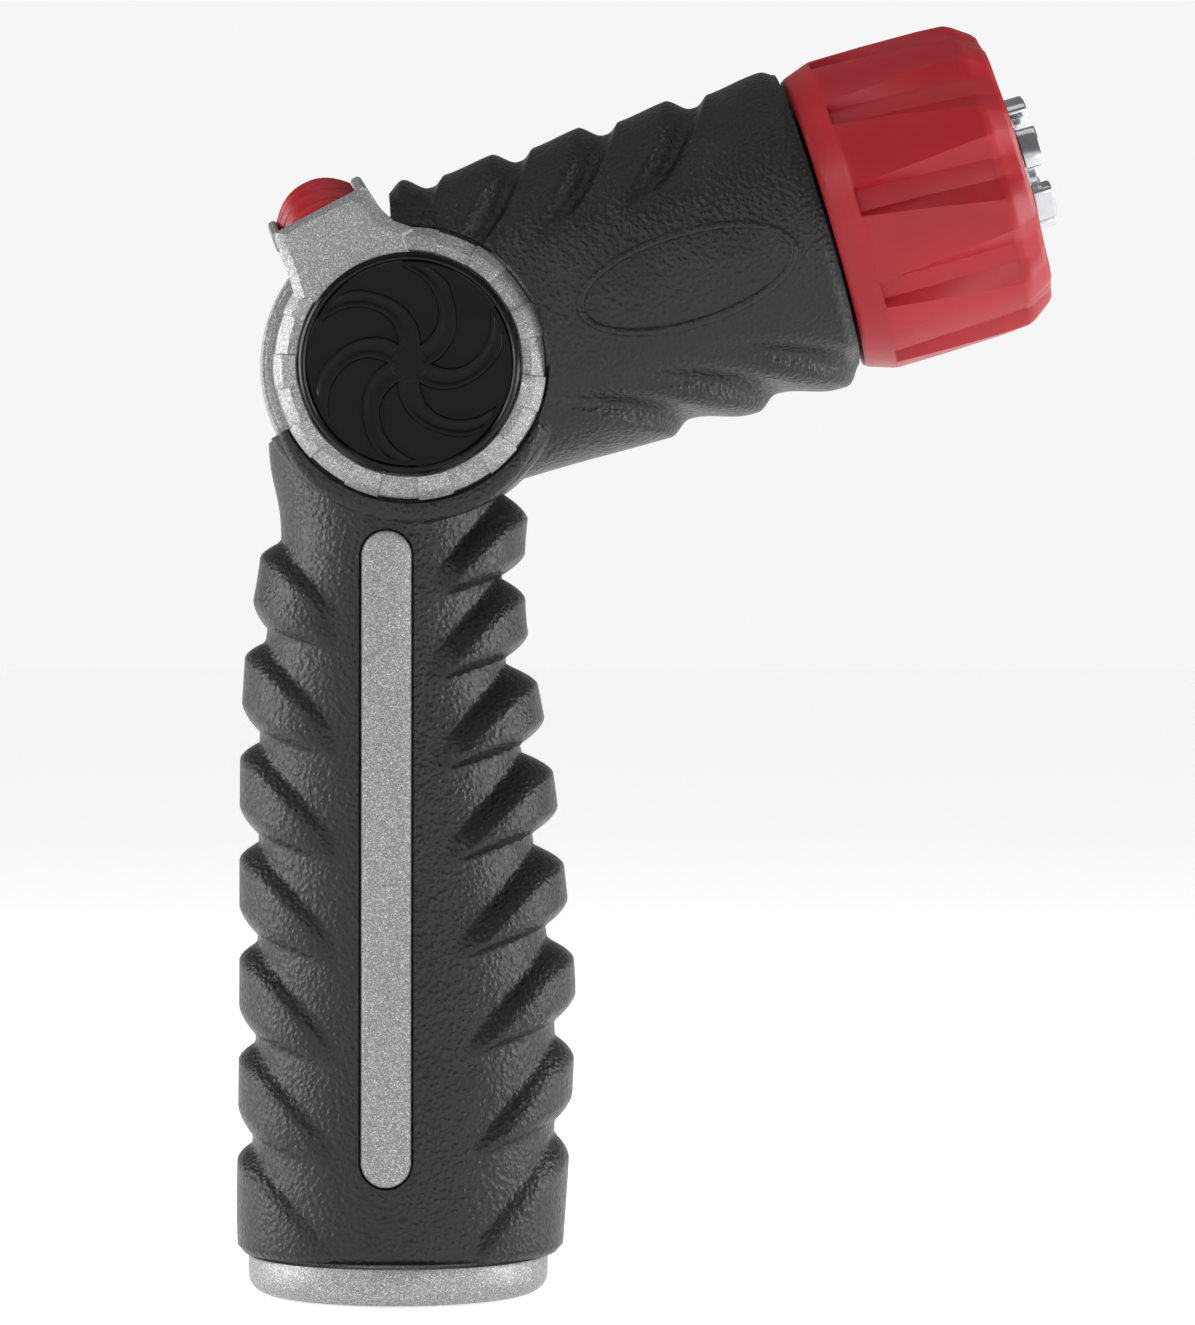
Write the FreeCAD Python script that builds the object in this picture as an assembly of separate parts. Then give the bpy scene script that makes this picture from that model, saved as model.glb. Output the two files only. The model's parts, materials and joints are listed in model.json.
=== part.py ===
"""Thumb-control garden hose nozzle with a twist spray head, as a bench assembly of separate pieces.

A silver valve body runs up the handle, through a cross hub and out along an inclined barrel.  A one-piece
rubber overmould wraps the handle and the barrel.  A two-part thumb lever turns a cylindrical valve rotor in
the hub, and a red twist bell rides a helical cam on the outlet tube, over a fixed toothed deflector.

Frame, in millimetres: +Z up the handle, +X towards the spray end, the mid plane is y = 0, and the origin is
the centre of the hose inlet's mouth.  Barrel pieces are modelled upright, with local +Z as the spray
direction, and then laid along the barrel by along_barrel().
"""

import FreeCAD, Part
import math
import os

V = FreeCAD.Vector

# ---------------------------------------------------------------- driving dimensions
HUB_X, HUB_Z = 2.0, 124.5          # the lever's axis, which runs along Y
BARREL_TILT = 16.5                 # degrees above horizontal
BARREL_RISE = 2.9                  # barrel axis above the hub centre, square to the barrel

GRIP_BOTTOM = 5.6                  # top of the silver collar
COLLAR_R = 20.2
THREAD_R = 13.6                    # female 3/4-11.5 hose thread, major radius
THREAD_DEPTH = 15.1
INSERT_R = 15.2
INSERT_TOP = 24.0
INLET_BORE_R = 9.0
WATER_LOW_R, WATER_HIGH_R = 13.4, 9.0   # tapered water way up the handle
HANDLE_TUBE_LOW_R, HANDLE_TUBE_HIGH_R = 17.6, 12.4

DRUM_R = 20.4                      # crowned silver drum behind the lever
DRUM_EDGE_R = 19.6
DRUM_HALF = 14.6                   # half its width
RING_R = 18.1                      # lever cheek
RING_IN = 14.6
CHEEK_IN = 14.9                    # |y| of the cheek's inner face
WEB_OUT = 17.2
CHEEK_OUT = 19.2
CAP_FACE, CAP_RIM = 19.5, 20.2     # |y| of the cap's recessed face and of its rim
CAP_BLADES = 6
POCKET_GAP = 0.4                   # air round the cheek in the overmould

ROTOR_R = 10.96
ROTOR_BORE = 11.0
ROTOR_HALF = 12.0
JOURNAL_R = 5.0
DRIVE = 7.0                        # square drive across flats
PORT_R = 4.6

LEVER_ANGLE = 117.9                # direction of the thumb block from the hub, degrees from +X
BLOCK_BACK, BLOCK_FRONT = -8.4, 5.2
BLOCK_TOP = 26.6
PAD_TOP = 28.1

BODY_BARREL_R = 16.8
BODY_BARREL_BORE = 14.4
BODY_BARREL_END = 57.0
GRIP_END = 57.8

TUBE_BACK = 26.0
TUBE_END = 74.0
TUBE_R = 11.0
TUBE_BORE = 8.5
CAM_LEAD = 8.0                     # axial travel for one full turn of the bell
CAM_TURN = 240.0                   # degrees from jet to fan
PIN_R = 1.2
PIN_U = 52.5

BELL_BACK = 58.5
BELL_FRONT = 85.4
BELL_SEAT_R = 16.6                 # between the bell's core and its red cover
KEY_ANGLES = (120.0, 300.0)        # where the detent ring's keys ride in the outlet tube
DETENT_BACK, DETENT_END = 42.75, 44.5
FLUTES = 10
FLUTE_START = 16.0                 # degrees round from the underside
CROWN_R = 9.2
CROWN_TIP = 89.0
CROWN_LOBES = 6
CROWN_FIRST = 18.0                 # middle of the first lobe, degrees round from the underside
CROWN_GAP = 2.6                    # width of the slot between two lobes
SECTOR = (97.0, 208.0)             # open sector of the overmould behind the hub, degrees from +X

# Handle outline at each height: z, back and front of the plain grip, half thickness, and the back and front
# over the ribs.
HANDLE = [
    (5.6, -20.6, 20.6, 20.4, -21.6, 22.3),
    (14.0, -20.0, 20.8, 20.1, -21.7, 22.8),
    (30.0, -19.4, 21.1, 19.5, -21.3, 23.3),
    (45.0, -19.0, 20.3, 18.9, -21.1, 23.4),
    (60.0, -18.9, 18.2, 18.4, -20.9, 22.2),
    (75.0, -18.5, 16.5, 17.9, -20.7, 20.2),
    (90.0, -17.4, 14.2, 17.4, -19.9, 17.5),
    (104.0, -15.9, 13.6, 17.0, -18.6, 17.6),
    (111.0, -17.6, 14.2, 17.0, -18.6, 18.4),
    (118.0, -17.8, 15.0, 17.0, -18.6, 18.4),
]
FRONT_RIB_TOPS = [21.5, 34.3, 47.1, 60.0, 73.0, 85.0, 96.5, 108.0]
BACK_RIB_TOPS = [20.4 + 13.45 * i for i in range(7)]

# Barrel outline along its axis: u, half height, half thickness of the plain grip.
BARREL = [(-4.0, 19.8, 17.8), (10.0, 20.0, 18.0), (24.0, 20.3, 18.9), (40.0, 20.7, 20.3), (57.8, 21.0, 21.0)]
BARREL_RIB = 1.2                   # how far a barrel rib stands up
TOP_GROOVES = [-3.0, 8.9, 20.9, 32.9, 45.2, 60.0]
LOWER_RIBS = [(25.0, 33.0), (37.0, 45.0), (49.2, 57.2)]


def hub(x=0.0, y=0.0, z=0.0):
    """A point given from the hub centre."""
    return V(HUB_X + x, y, HUB_Z + z)


def along_barrel(shape, rise=BARREL_RISE):
    """Lays an upright shape along the barrel.  rise=0 puts it on the line through the hub centre."""
    tilt = math.radians(BARREL_TILT)
    base = hub(-rise * math.sin(tilt), 0, rise * math.cos(tilt))
    laid = shape.copy()
    turn = FreeCAD.Rotation(V(0, 1, 0), 90 - BARREL_TILT)
    laid.Placement = FreeCAD.Placement(base, turn).multiply(laid.Placement)
    return laid


def cylinder(r, low, high):
    return Part.makeCylinder(r, high - low, V(0, 0, low))


def ring(outer, inner, low, high):
    return cylinder(outer, low, high).cut(cylinder(inner, low - 1, high + 1))


def cross_cylinder(r, low, high, centre=None):
    """A cylinder along Y, on the hub's axis unless a centre is given, from y = low to y = high."""
    centre = centre or hub()
    return Part.makeCylinder(r, high - low, V(centre.x, low, centre.z), V(0, 1, 0))


def cross_ring(outer, inner, low, high):
    return cross_cylinder(outer, low, high).cut(cross_cylinder(inner, low - 1, high + 1))


def turned(points):
    """A solid of revolution about Z from (z, radius) points that make a closed outline."""
    corners = [V(r, 0, z) for z, r in points]
    face = Part.Face(Part.makePolygon(corners + corners[:1]))
    return face.revolve(V(0, 0, 0), V(0, 0, 1), 360)


def o_ring(middle_r, section_r, z):
    return Part.makeTorus(middle_r, section_r, V(0, 0, z))


def prism_y(points, low, high):
    """Closed (x, z) outline swept along Y."""
    corners = [V(x, low, z) for x, z in points]
    face = Part.Face(Part.makePolygon(corners + corners[:1]))
    return face.extrude(V(0, high - low, 0))


def mirror_y(shape):
    return shape.mirror(V(0, 0, 0), V(0, 1, 0))


def fuse_all(shapes):
    first, rest = shapes[0], shapes[1:]
    return first.fuse(rest) if rest else first


# ---------------------------------------------------------------- grip surfaces
def oval(cx, a, b, z, squareness=2.25, points=28):
    """A closed superellipse at height z, wide a along X and b along Y."""
    curve = []
    for i in range(points):
        t = 2 * math.pi * i / points
        c, s = math.cos(t), math.sin(t)
        x = a * math.copysign(abs(c) ** (2 / squareness), c)
        y = b * math.copysign(abs(s) ** (2 / squareness), s)
        curve.append(V(cx + x, y, z))
    spline = Part.BSplineCurve()
    spline.interpolate(curve, PeriodicFlag=True)
    return Part.Wire(spline.toShape())


def handle_loft(inset=0.0, over_ribs=False):
    wires = []
    for z, back, front, half, rib_back, rib_front in HANDLE:
        low, high = (rib_back, rib_front) if over_ribs else (back, front)
        thin = half - (0.25 if over_ribs else 0.0)
        wires.append(oval((low + high) / 2, (high - low) / 2 - inset, thin - inset, z))
    return Part.makeLoft(wires, True, False)


def barrel_loft(rib=0.0):
    """The barrel grip, upright.  Local X is the barrel's underside, so the half height lies along it."""
    thin = 0.2 if rib else 0.0
    wires = [oval(0, high + rib, wide - thin, u, 2.0) for u, high, wide in BARREL]
    return Part.makeLoft(wires, True, False)


def handle_at(z, column):
    """A value of HANDLE's column at height z, between its rows."""
    for low, high in zip(HANDLE, HANDLE[1:]):
        if z <= high[0]:
            share = max(0.0, (z - low[0]) / (high[0] - low[0]))
            return low[column] + share * (high[column] - low[column])
    return HANDLE[-1][column]


def handle_ribs():
    """Slanted ribs that wrap the front and the back of the handle, between planes square to the mid plane."""
    slabs = []
    for i, top in enumerate(FRONT_RIB_TOPS):
        edge = handle_at(top, 2)
        foot = GRIP_BOTTOM if i == 0 else top - 14.0
        lower = GRIP_BOTTOM if i == 0 else top - 7.2
        outer, inner = edge + 7, edge - 9
        slabs.append([(outer, top - 0.6), (edge - 1, top), (inner, top - 10.5), (inner, foot), (outer, lower)])
    for i, top in enumerate(BACK_RIB_TOPS):
        edge = handle_at(top, 1)
        foot = GRIP_BOTTOM if i == 0 else top - 14.5
        lower = GRIP_BOTTOM if i == 0 else top - 9.0
        outer, inner = edge - 6, edge + 8
        slabs.append([(outer, top - 0.6), (edge + 0.8, top), (inner, top - 8.4), (inner, foot), (outer, lower)])
    envelope = handle_loft(over_ribs=True)
    return [envelope.common(prism_y(points, -30, 30)) for points in slabs]


def barrel_ribs():
    """Ribs over the top and under the barrel, upright: local +X is the barrel's underside."""
    slabs = []
    for back, front in zip(TOP_GROOVES, TOP_GROOVES[1:]):
        low, high = back + 1.4, min(front - 1.4, GRIP_END)
        lean = 0.58 * 12
        slabs.append([(-24, low), (-24, high), (-12, high - lean), (-12, low - lean)])
    for back, front in LOWER_RIBS:
        slabs.append([(24, back + 1.2), (24, front), (22, front), (13, front - 17), (15, back - 8)])
    envelope = barrel_loft(rib=BARREL_RIB)
    return [envelope.common(prism_y(points, -30, 30)) for points in slabs]


def stadium(width, low, high, x):
    """An upright slot outline as a face on the plane y = 0."""
    r = width / 2
    right, left = x + r, x - r
    edges = [
        Part.LineSegment(V(left, 0, low + r), V(left, 0, high - r)).toShape(),
        Part.Arc(V(left, 0, high - r), V(x, 0, high), V(right, 0, high - r)).toShape(),
        Part.LineSegment(V(right, 0, high - r), V(right, 0, low + r)).toShape(),
        Part.Arc(V(right, 0, low + r), V(x, 0, low), V(left, 0, low + r)).toShape(),
    ]
    return Part.Face(Part.Wire(edges))


STRIP_X, STRIP_LOW, STRIP_HIGH, STRIP_WIDTH = -1.1, 15.8, 102.5, 6.7
STRIP_DEPTH = 2.2


def strip_prism(grow):
    face = stadium(STRIP_WIDTH + 2 * grow, STRIP_LOW - grow, STRIP_HIGH + grow, STRIP_X)
    return face.extrude(V(0, -30, 0))


def trim_strip():
    """The near-side silver strip, a curved plate that lies just under the grip's surface."""
    plate = strip_prism(0.0).common(handle_loft(inset=0.25))
    return plate.cut(handle_loft(inset=STRIP_DEPTH))


# ---------------------------------------------------------------- valve body
def drum():
    """The crowned silver drum on the hub's axis."""
    arc = Part.Arc(V(DRUM_EDGE_R, -DRUM_HALF, 0), V(DRUM_R, 0, 0), V(DRUM_EDGE_R, DRUM_HALF, 0)).toShape()
    corners = [(DRUM_EDGE_R, DRUM_HALF), (0, DRUM_HALF), (0, -DRUM_HALF), (DRUM_EDGE_R, -DRUM_HALF)]
    sides = Part.makePolygon([V(r, y, 0) for r, y in corners])
    face = Part.Face(Part.Wire([arc] + sides.Edges))
    solid = face.revolve(V(0, 0, 0), V(0, 1, 0), 360)
    solid.translate(hub())
    return solid


def cheek_pockets():
    """Room for both lever cheeks, outside the drum's flat sides."""
    near = cross_cylinder(RING_R + POCKET_GAP, -40, -DRUM_HALF)
    return [near, mirror_y(near)]


def body_outer():
    """The outside of the valve body, with no hollows."""
    handle = Part.makeCone(HANDLE_TUBE_LOW_R, HANDLE_TUBE_HIGH_R, 112 - GRIP_BOTTOM, V(0, 0, GRIP_BOTTOM))
    barrel = along_barrel(cylinder(BODY_BARREL_R, 2, BODY_BARREL_END))
    return handle.fuse([drum(), barrel]).cut(cheek_pockets())


def water_way():
    """Tapered bore from the inlet up to the rotor, with a slight lean towards the hub centre."""
    start = V(0, 0, INSERT_TOP - 1)
    rise = hub() - start
    return Part.makeCone(WATER_LOW_R, WATER_HIGH_R, rise.Length - 5, start, rise)


def valve_body():
    hollow = [
        cylinder(INSERT_R, 0, INSERT_TOP),
        water_way(),
        cross_cylinder(ROTOR_BORE, -DRUM_HALF - 1, DRUM_HALF + 1),
        along_barrel(cylinder(8.0, 6, TUBE_BACK + 2), rise=0),
        along_barrel(cylinder(BODY_BARREL_BORE, TUBE_BACK, BODY_BARREL_END + 1)),
    ]
    return body_outer().cut(hollow)


def hub_sector():
    """The open sector behind the hub, where the drum shows and the thumb block swings."""
    reach = 60.0
    start, stop = SECTOR
    corners = [(HUB_X, HUB_Z)]
    for step in range(5):
        a = math.radians(start + (stop - start) * step / 4)
        corners.append((HUB_X + reach * math.cos(a), HUB_Z + reach * math.sin(a)))
    return prism_y(corners, -30, 30)


def grip_overmould():
    collar = cross_cylinder(DRUM_R + 0.9, -17.3, 17.3)
    barrel = along_barrel(fuse_all([barrel_loft()] + barrel_ribs()))
    handle = fuse_all([handle_loft()] + handle_ribs())
    skin = handle.fuse([barrel, collar])
    slot = strip_prism(0.2).cut(handle_loft(inset=STRIP_DEPTH))
    skin = skin.cut([hub_sector(), slot, mirror_y(slot)] + cheek_pockets())
    return skin.cut([body_outer(), along_barrel(cylinder(BODY_BARREL_R, 2, GRIP_END + 5))])


# ---------------------------------------------------------------- inlet
def inlet_collar():
    solid = ring(COLLAR_R, INSERT_R, 0, GRIP_BOTTOM)
    foot = [e for e in solid.Edges if abs(e.BoundBox.ZMax) < 1e-6 and e.BoundBox.XLength > 2 * COLLAR_R - 1]
    return solid.makeFillet(2.6, foot)


def inlet_insert():
    outline = [
        (0, THREAD_R), (0, INSERT_R), (20.6, INSERT_R), (20.6, 13.7), (22.4, 13.7), (22.4, INSERT_R),
        (INSERT_TOP, INSERT_R), (INSERT_TOP, INLET_BORE_R), (18.6, INLET_BORE_R), (18.6, THREAD_R + 0.3),
        (THREAD_DEPTH, THREAD_R + 0.3), (THREAD_DEPTH, THREAD_R),
    ]
    return turned(outline)


def hose_washer():
    return ring(THREAD_R + 0.1, 8.5, 15.4, 18.4)


# ---------------------------------------------------------------- rotor and its seals
def valve_rotor():
    core = cross_cylinder(ROTOR_R, -ROTOR_HALF, ROTOR_HALF)
    journals = cross_cylinder(JOURNAL_R, -CHEEK_IN, CHEEK_IN)
    half = DRIVE / 2
    drive = Part.makeBox(DRIVE, 2 * (WEB_OUT - 0.1), DRIVE, hub(-half, 0, -half) + V(0, -WEB_OUT + 0.1, 0))
    drive.rotate(hub(), V(0, 1, 0), -LEVER_ANGLE)
    down = V(0, 0, INSERT_TOP) - hub()
    ports = [
        Part.makeCylinder(PORT_R, 20, hub(), down),
        along_barrel(cylinder(PORT_R, 0, 20), rise=0),
        Part.makeSphere(PORT_R, hub()),
    ]
    screw_holes = [cross_cylinder(2.0, -20, -8.0), cross_cylinder(2.0, 8.0, 20)]
    return core.fuse([journals, drive]).cut(ports + screw_holes)


def bonnet():
    """Near-side plug that closes the rotor bore and carries a journal."""
    plug = cross_ring(ROTOR_BORE, JOURNAL_R + 0.05, -DRUM_HALF, -ROTOR_HALF - 0.1)
    groove = cross_cylinder(6.65, -14.2, -12.5)
    return plug.cut(groove)


def stem_oring():
    torus = Part.makeTorus(5.85, 0.75, V(0, 0, 0), V(0, 1, 0))
    torus.translate(hub(0, -13.35, 0))
    return torus


def outlet_seal():
    puck = along_barrel(ring(7.9, PORT_R, 8.0, 15.0), rise=0)
    return puck.cut(cross_cylinder(ROTOR_BORE + 0.03, -20, 20))


def seal_spring():
    """Closed-end compression spring between the seal and its retainer."""
    wire_r, coil_r, pitch, turns = 0.45, 6.6, 1.35, 2.75
    helix = Part.makeHelix(pitch, pitch * turns, coil_r)
    profile = Part.Wire(Part.makeCircle(wire_r, V(coil_r, 0, 0), V(0, 1, 0)))
    coil = Part.Wire(helix).makePipeShell([profile], True, True)
    coil.translate(V(0, 0, 15.6))
    return along_barrel(coil, rise=0)


def seal_retainer():
    return along_barrel(ring(7.98, 5.0, 20.0, 25.5), rise=0)


# ---------------------------------------------------------------- lever
def in_lever(x, z):
    """A point of the lever's side view: x along the thumb block, z out from the hub."""
    a = math.radians(LEVER_ANGLE)
    return (HUB_X + x * math.sin(a) + z * math.cos(a), HUB_Z - x * math.cos(a) + z * math.sin(a))


def arched(radius, crest, x=0.0, along_y=True):
    """A large cylinder whose crest lies crest mm out from the hub, over the thumb block."""
    cx, cz = in_lever(x, crest - radius)
    if along_y:
        return Part.makeCylinder(radius, 80, V(cx, -40, cz), V(0, 1, 0))
    a = math.radians(LEVER_ANGLE)
    way = V(math.sin(a), 0, -math.cos(a))
    return Part.makeCylinder(radius, 80, V(cx, 0, cz) - way * 40, way)


def thumb_block():
    """The bridge over the drum, with low sides and a high arched middle."""
    outline = [
        (BLOCK_BACK - 0.6, 14.0), (BLOCK_BACK, 20.0), (BLOCK_BACK, 30.0), (BLOCK_FRONT - 0.5, 30.0),
        (BLOCK_FRONT + 0.4, 20.0), (BLOCK_FRONT + 2.4, 14.0),
    ]
    points = [in_lever(x, z) for x, z in outline]
    block = prism_y(points, -CHEEK_OUT, CHEEK_OUT)
    block = block.common(arched(43.2, BLOCK_TOP, along_y=False))
    drum_room = cross_cylinder(DRUM_R + 0.4, -CHEEK_IN, CHEEK_IN)
    return block.cut(drum_room)


def thumb_pad(grow=0.0):
    """The red pad: a cushion crowned both ways."""
    back, front = BLOCK_BACK + 1.5 - grow, BLOCK_FRONT - 1.6 + grow
    points = [in_lever(back, 22.4), in_lever(back, 40), in_lever(front, 40), in_lever(front, 22.4)]
    pad = prism_y(points, -17.2 - grow, 17.2 + grow)
    middle = (back + front) / 2
    pad = pad.common(arched(8.3, PAD_TOP + grow, x=middle))
    return pad.common(arched(31.5, PAD_TOP + grow, along_y=False))


def cheek():
    """Near-side cheek: a web with a square socket, and a raised ring with a tread of shallow blocks."""
    web = cross_cylinder(RING_R, -WEB_OUT, -CHEEK_IN)
    rim = cross_ring(RING_R, RING_IN, -CHEEK_OUT, -WEB_OUT + 0.1)
    bevel = Part.makeCone(RING_R, RING_R - 2.2, 1.3, V(HUB_X, -CHEEK_OUT + 1.3, HUB_Z), V(0, -1, 0))
    keep = cross_cylinder(RING_R, -CHEEK_OUT + 1.3, 0).fuse(bevel)
    return web.fuse(rim).common(keep)


def tread_cuts():
    """Every second block round the near cheek's ring is a little lower."""
    cuts = []
    count = 22
    step = 360.0 / count
    for i in range(0, count, 2):
        middle = LEVER_ANGLE + 3 * step + i * step
        if abs((middle - LEVER_ANGLE + 180) % 360 - 180) < 28:
            continue
        a, b = (math.radians(middle + s * step / 2) for s in (-1, 1))
        corners = [(0, 0), (25 * math.cos(a), 25 * math.sin(a)), (25 * math.cos(b), 25 * math.sin(b))]
        wedge = prism_y([(HUB_X + x, HUB_Z + z) for x, z in corners], -CHEEK_OUT - 1, -CHEEK_OUT + 0.35)
        cuts.append(wedge.cut(cross_cylinder(RING_IN + 1.0, -30, 0)))
    return cuts


def lever_half():
    """The near half of the lever: cheek, arm and half the thumb block, split on the mid plane."""
    near = Part.makeBox(200, 60, 200, V(-100, -60, 20))
    block = thumb_block().common(near).cut(cross_cylinder(RING_IN, -30, 0))
    half = cheek().cut(tread_cuts()).fuse(block)
    socket = DRIVE / 2 + 0.03
    square = Part.makeBox(2 * socket, 30, 2 * socket, hub(-socket, -30, -socket))
    square.rotate(hub(), V(0, 1, 0), -LEVER_ANGLE)
    return half.cut([square, thumb_pad(grow=0.1)])


def hub_screw():
    """Near-side screw: a washer-sized pan head over a shank in the rotor's end."""
    shank = cross_cylinder(1.95, -17.6, -9.0)
    head = cross_cylinder(3.4, -18.2, -17.6)
    slot = Part.makeBox(5.0, 1.0, 0.9, hub(-2.5, -18.9, -0.45))
    cross = Part.makeBox(0.9, 1.0, 5.0, hub(-0.45, -18.9, -2.5))
    return head.fuse(shank).cut([slot, cross])


def hub_washer():
    return cross_ring(6.0, 2.05, -17.6, -WEB_OUT)


def vane():
    """One raised blade of the near cap's pinwheel: wide at the middle, curling to a point at the rim."""
    def at(r, degrees):
        a = math.radians(degrees)
        return hub(r * math.cos(a), -CAP_FACE, r * math.sin(a))

    edges = [
        Part.Arc(at(2.8, 0), at(9.6, 52), at(12.7, 100)).toShape(),
        Part.Arc(at(12.7, 100), at(8.0, 72), at(2.4, 76)).toShape(),
        Part.LineSegment(at(2.4, 76), at(2.8, 0)).toShape(),
    ]
    return Part.Face(Part.Wire(edges)).extrude(V(0, -0.7, 0))


def hub_cap():
    """Near-side cap: a shallow cup with a rounded rim and a raised pinwheel of six blades."""
    outer, skin = RING_IN - 0.1, 1.1
    cup = cross_cylinder(outer, -CAP_RIM, -WEB_OUT - 0.05)
    rim = [e for e in cup.Edges if max(abs(e.BoundBox.YMin + CAP_RIM), abs(e.BoundBox.YMax + CAP_RIM)) < 1e-6]
    cup = cup.makeFillet(0.7, rim).cut(cross_cylinder(outer - 1.2, -CAP_FACE + skin, 0))
    cup = cup.cut(cross_cylinder(outer - 1.3, -CAP_RIM - 1, -CAP_FACE))
    blades = []
    for i in range(CAP_BLADES):
        blade = vane()
        blade.rotate(hub(), V(0, 1, 0), i * 360.0 / CAP_BLADES)
        blades.append(blade)
    return cup.fuse(blades)


# ---------------------------------------------------------------- outlet and bell
def spiral_groove():
    """One cam groove round the outlet tube, one pin wide, starting at the pin's rest place."""
    half = PIN_R + 0.15
    depth_in = TUBE_R - 1.2
    length = CAM_LEAD * CAM_TURN / 360
    helix = Part.makeHelix(CAM_LEAD, length, TUBE_R)
    corners = [V(depth_in, 0, -half), V(TUBE_R + 1, 0, -half), V(TUBE_R + 1, 0, half), V(depth_in, 0, half)]
    profile = Part.makePolygon(corners + corners[:1])
    groove = Part.Wire(helix).makePipeShell([profile], True, True)
    ends = []
    for angle, z in ((0, 0), (CAM_TURN, length)):
        end = Part.makeCylinder(half, 4, V(depth_in, 0, 0), V(1, 0, 0))
        end.rotate(V(0, 0, 0), V(0, 0, 1), angle)
        end.translate(V(0, 0, z))
        ends.append(end)
    groove = groove.fuse(ends)
    groove.translate(V(0, 0, PIN_U))
    return groove


def key_slot(angle, floor, half, low, high):
    """A straight block along the tube at an angle, from radius floor outwards."""
    block = Part.makeBox(TUBE_R + 1 - floor, 2 * half, high - low, V(floor, -half, low))
    block.rotate(V(0, 0, 0), V(0, 0, 1), angle)
    return block


def detent_ring():
    """Ring that gives the bell its clicks: it slides with the bell and its keys stop it from turning."""
    keys = [key_slot(angle, TUBE_R - 0.8, 1.5, DETENT_BACK, DETENT_END) for angle in KEY_ANGLES]
    return ring(12.75, TUBE_R + 0.08, DETENT_BACK, DETENT_END).fuse(keys)


def snap_ring():
    """Open retaining ring in the back of the bell's core, behind the detent ring."""
    gap = Part.makeBox(6, 3, 2, V(10, -1.5, 41))
    return ring(13.0, 11.5, 42.0, 42.5).cut(gap)


def outlet_tube():
    """Flanged tube with a stepped bore, a three-legged spider for the stem, and two cam grooves."""
    outline = [
        (TUBE_BACK, 6.5), (TUBE_BACK, 14.35), (28.0, 14.35), (28.0, 12.6), (30.0, 12.6), (30.0, 14.35),
        (34.0, 14.35), (34.0, TUBE_R), (TUBE_END, TUBE_R), (TUBE_END, TUBE_BORE), (30.0, TUBE_BORE),
    ]
    tube = turned(outline)
    other = spiral_groove()
    other.rotate(V(0, 0, 0), V(0, 0, 1), 180)
    low, high = DETENT_BACK - 0.4, DETENT_END + 5.7
    keyways = [key_slot(angle, TUBE_R - 0.9, 1.65, low, high) for angle in KEY_ANGLES]
    tube = tube.cut([spiral_groove(), other] + keyways)
    spider = ring(3.6, 2.0, 61.0, 66.0)
    legs = []
    for i in range(3):
        leg = Part.makeBox(TUBE_BORE - 2.6, 1.6, 5.0, V(3.0, -0.8, 61.0))
        leg.rotate(V(0, 0, 0), V(0, 0, 1), 120 * i)
        legs.append(leg)
    return tube.fuse([spider] + legs)


def tube_nut():
    """Ring nut that holds the tube's flange down, with two spanner slots."""
    nut = ring(14.35, 11.6, 34.0, 38.0)
    slot = Part.makeBox(40, 2.4, 1.6, V(-20, -1.2, 36.6))
    return nut.cut(slot)


def spray_stem():
    outline = [
        (58.5, 0), (58.5, 3.2), (60.9, 3.2), (60.9, 1.98), (66.1, 1.98), (66.1, 2.6), (80.5, 2.6), (80.5, 2.0),
        (85.0, 2.0), (85.0, 0),
    ]
    return turned(outline).cut(cylinder(1.25, 78, 86))


def deflector_crown():
    """Cone that spreads the water, with a ring of blunt lobes round a sunk face."""
    cone = turned([(80.5, 2.05), (80.5, 3.0), (84.6, 8.7), (85.0, CROWN_R), (86.4, CROWN_R), (86.4, 2.05)])
    lobes = ring(CROWN_R, CROWN_R - 1.9, 86.3, CROWN_TIP)
    top = [e for e in lobes.Edges if abs(e.BoundBox.ZMin - CROWN_TIP) < 1e-6]
    lobes = lobes.makeFillet(0.6, top)
    slots = []
    for i in range(CROWN_LOBES):
        slot = Part.makeBox(12, CROWN_GAP, 4, V(4, -CROWN_GAP / 2, 86.9))
        slot.rotate(V(0, 0, 0), V(0, 0, 1), CROWN_FIRST + (i + 0.5) * 360.0 / CROWN_LOBES)
        slots.append(slot)
    return cone.fuse(lobes.cut(slots))


def crown_screw():
    head = cylinder(3.2, 86.4, 87.9)
    shank = cylinder(1.2, 79, 86.5)
    slot = Part.makeBox(5.0, 0.9, 1.0, V(-2.5, -0.45, 87.1))
    cross = Part.makeBox(0.9, 5.0, 1.0, V(-0.45, -2.5, 87.1))
    return head.fuse(shank).cut([slot, cross])


def cam_pins():
    pin = Part.makeCylinder(PIN_R, 3.9, V(TUBE_R - 1.1, 0, PIN_U), V(1, 0, 0))
    other = pin.copy()
    other.rotate(V(0, 0, 0), V(0, 0, 1), 180)
    return [pin, other]


def bell_core():
    """Sleeve on the outlet tube, with a sealing groove, the orifice lip and the flared mouth."""
    bore = TUBE_R + 0.08
    outline = [
        (44.75, bore), (44.75, 13.0), (42.0, 13.0), (42.0, 14.1), (60.0, 14.1), (60.0, BELL_SEAT_R),
        (85.0, BELL_SEAT_R), (85.0, 15.4), (77.8, 9.6), (77.8, 7.5), (77.2, 7.5), (75.6, bore), (66.2, bore),
        (66.2, 13.1), (63.9, 13.1), (63.9, bore),
    ]
    return turned(outline).cut(cam_pins())


def flute():
    """One pocket of the bell's grip: square at the back and wider towards the front."""
    back, front = 64.0, BELL_FRONT + 2
    floor = 20.1
    corners = [V(floor, -2.1, back), V(floor, 2.1, back), V(floor, 7.4, front), V(floor, -2.6, front)]
    face = Part.Face(Part.makePolygon(corners + corners[:1]))
    pocket = face.extrude(V(6, 0, 0))
    pocket.rotate(V(floor, 0, back), V(0, 1, 0), -2.0)
    return pocket


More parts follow.
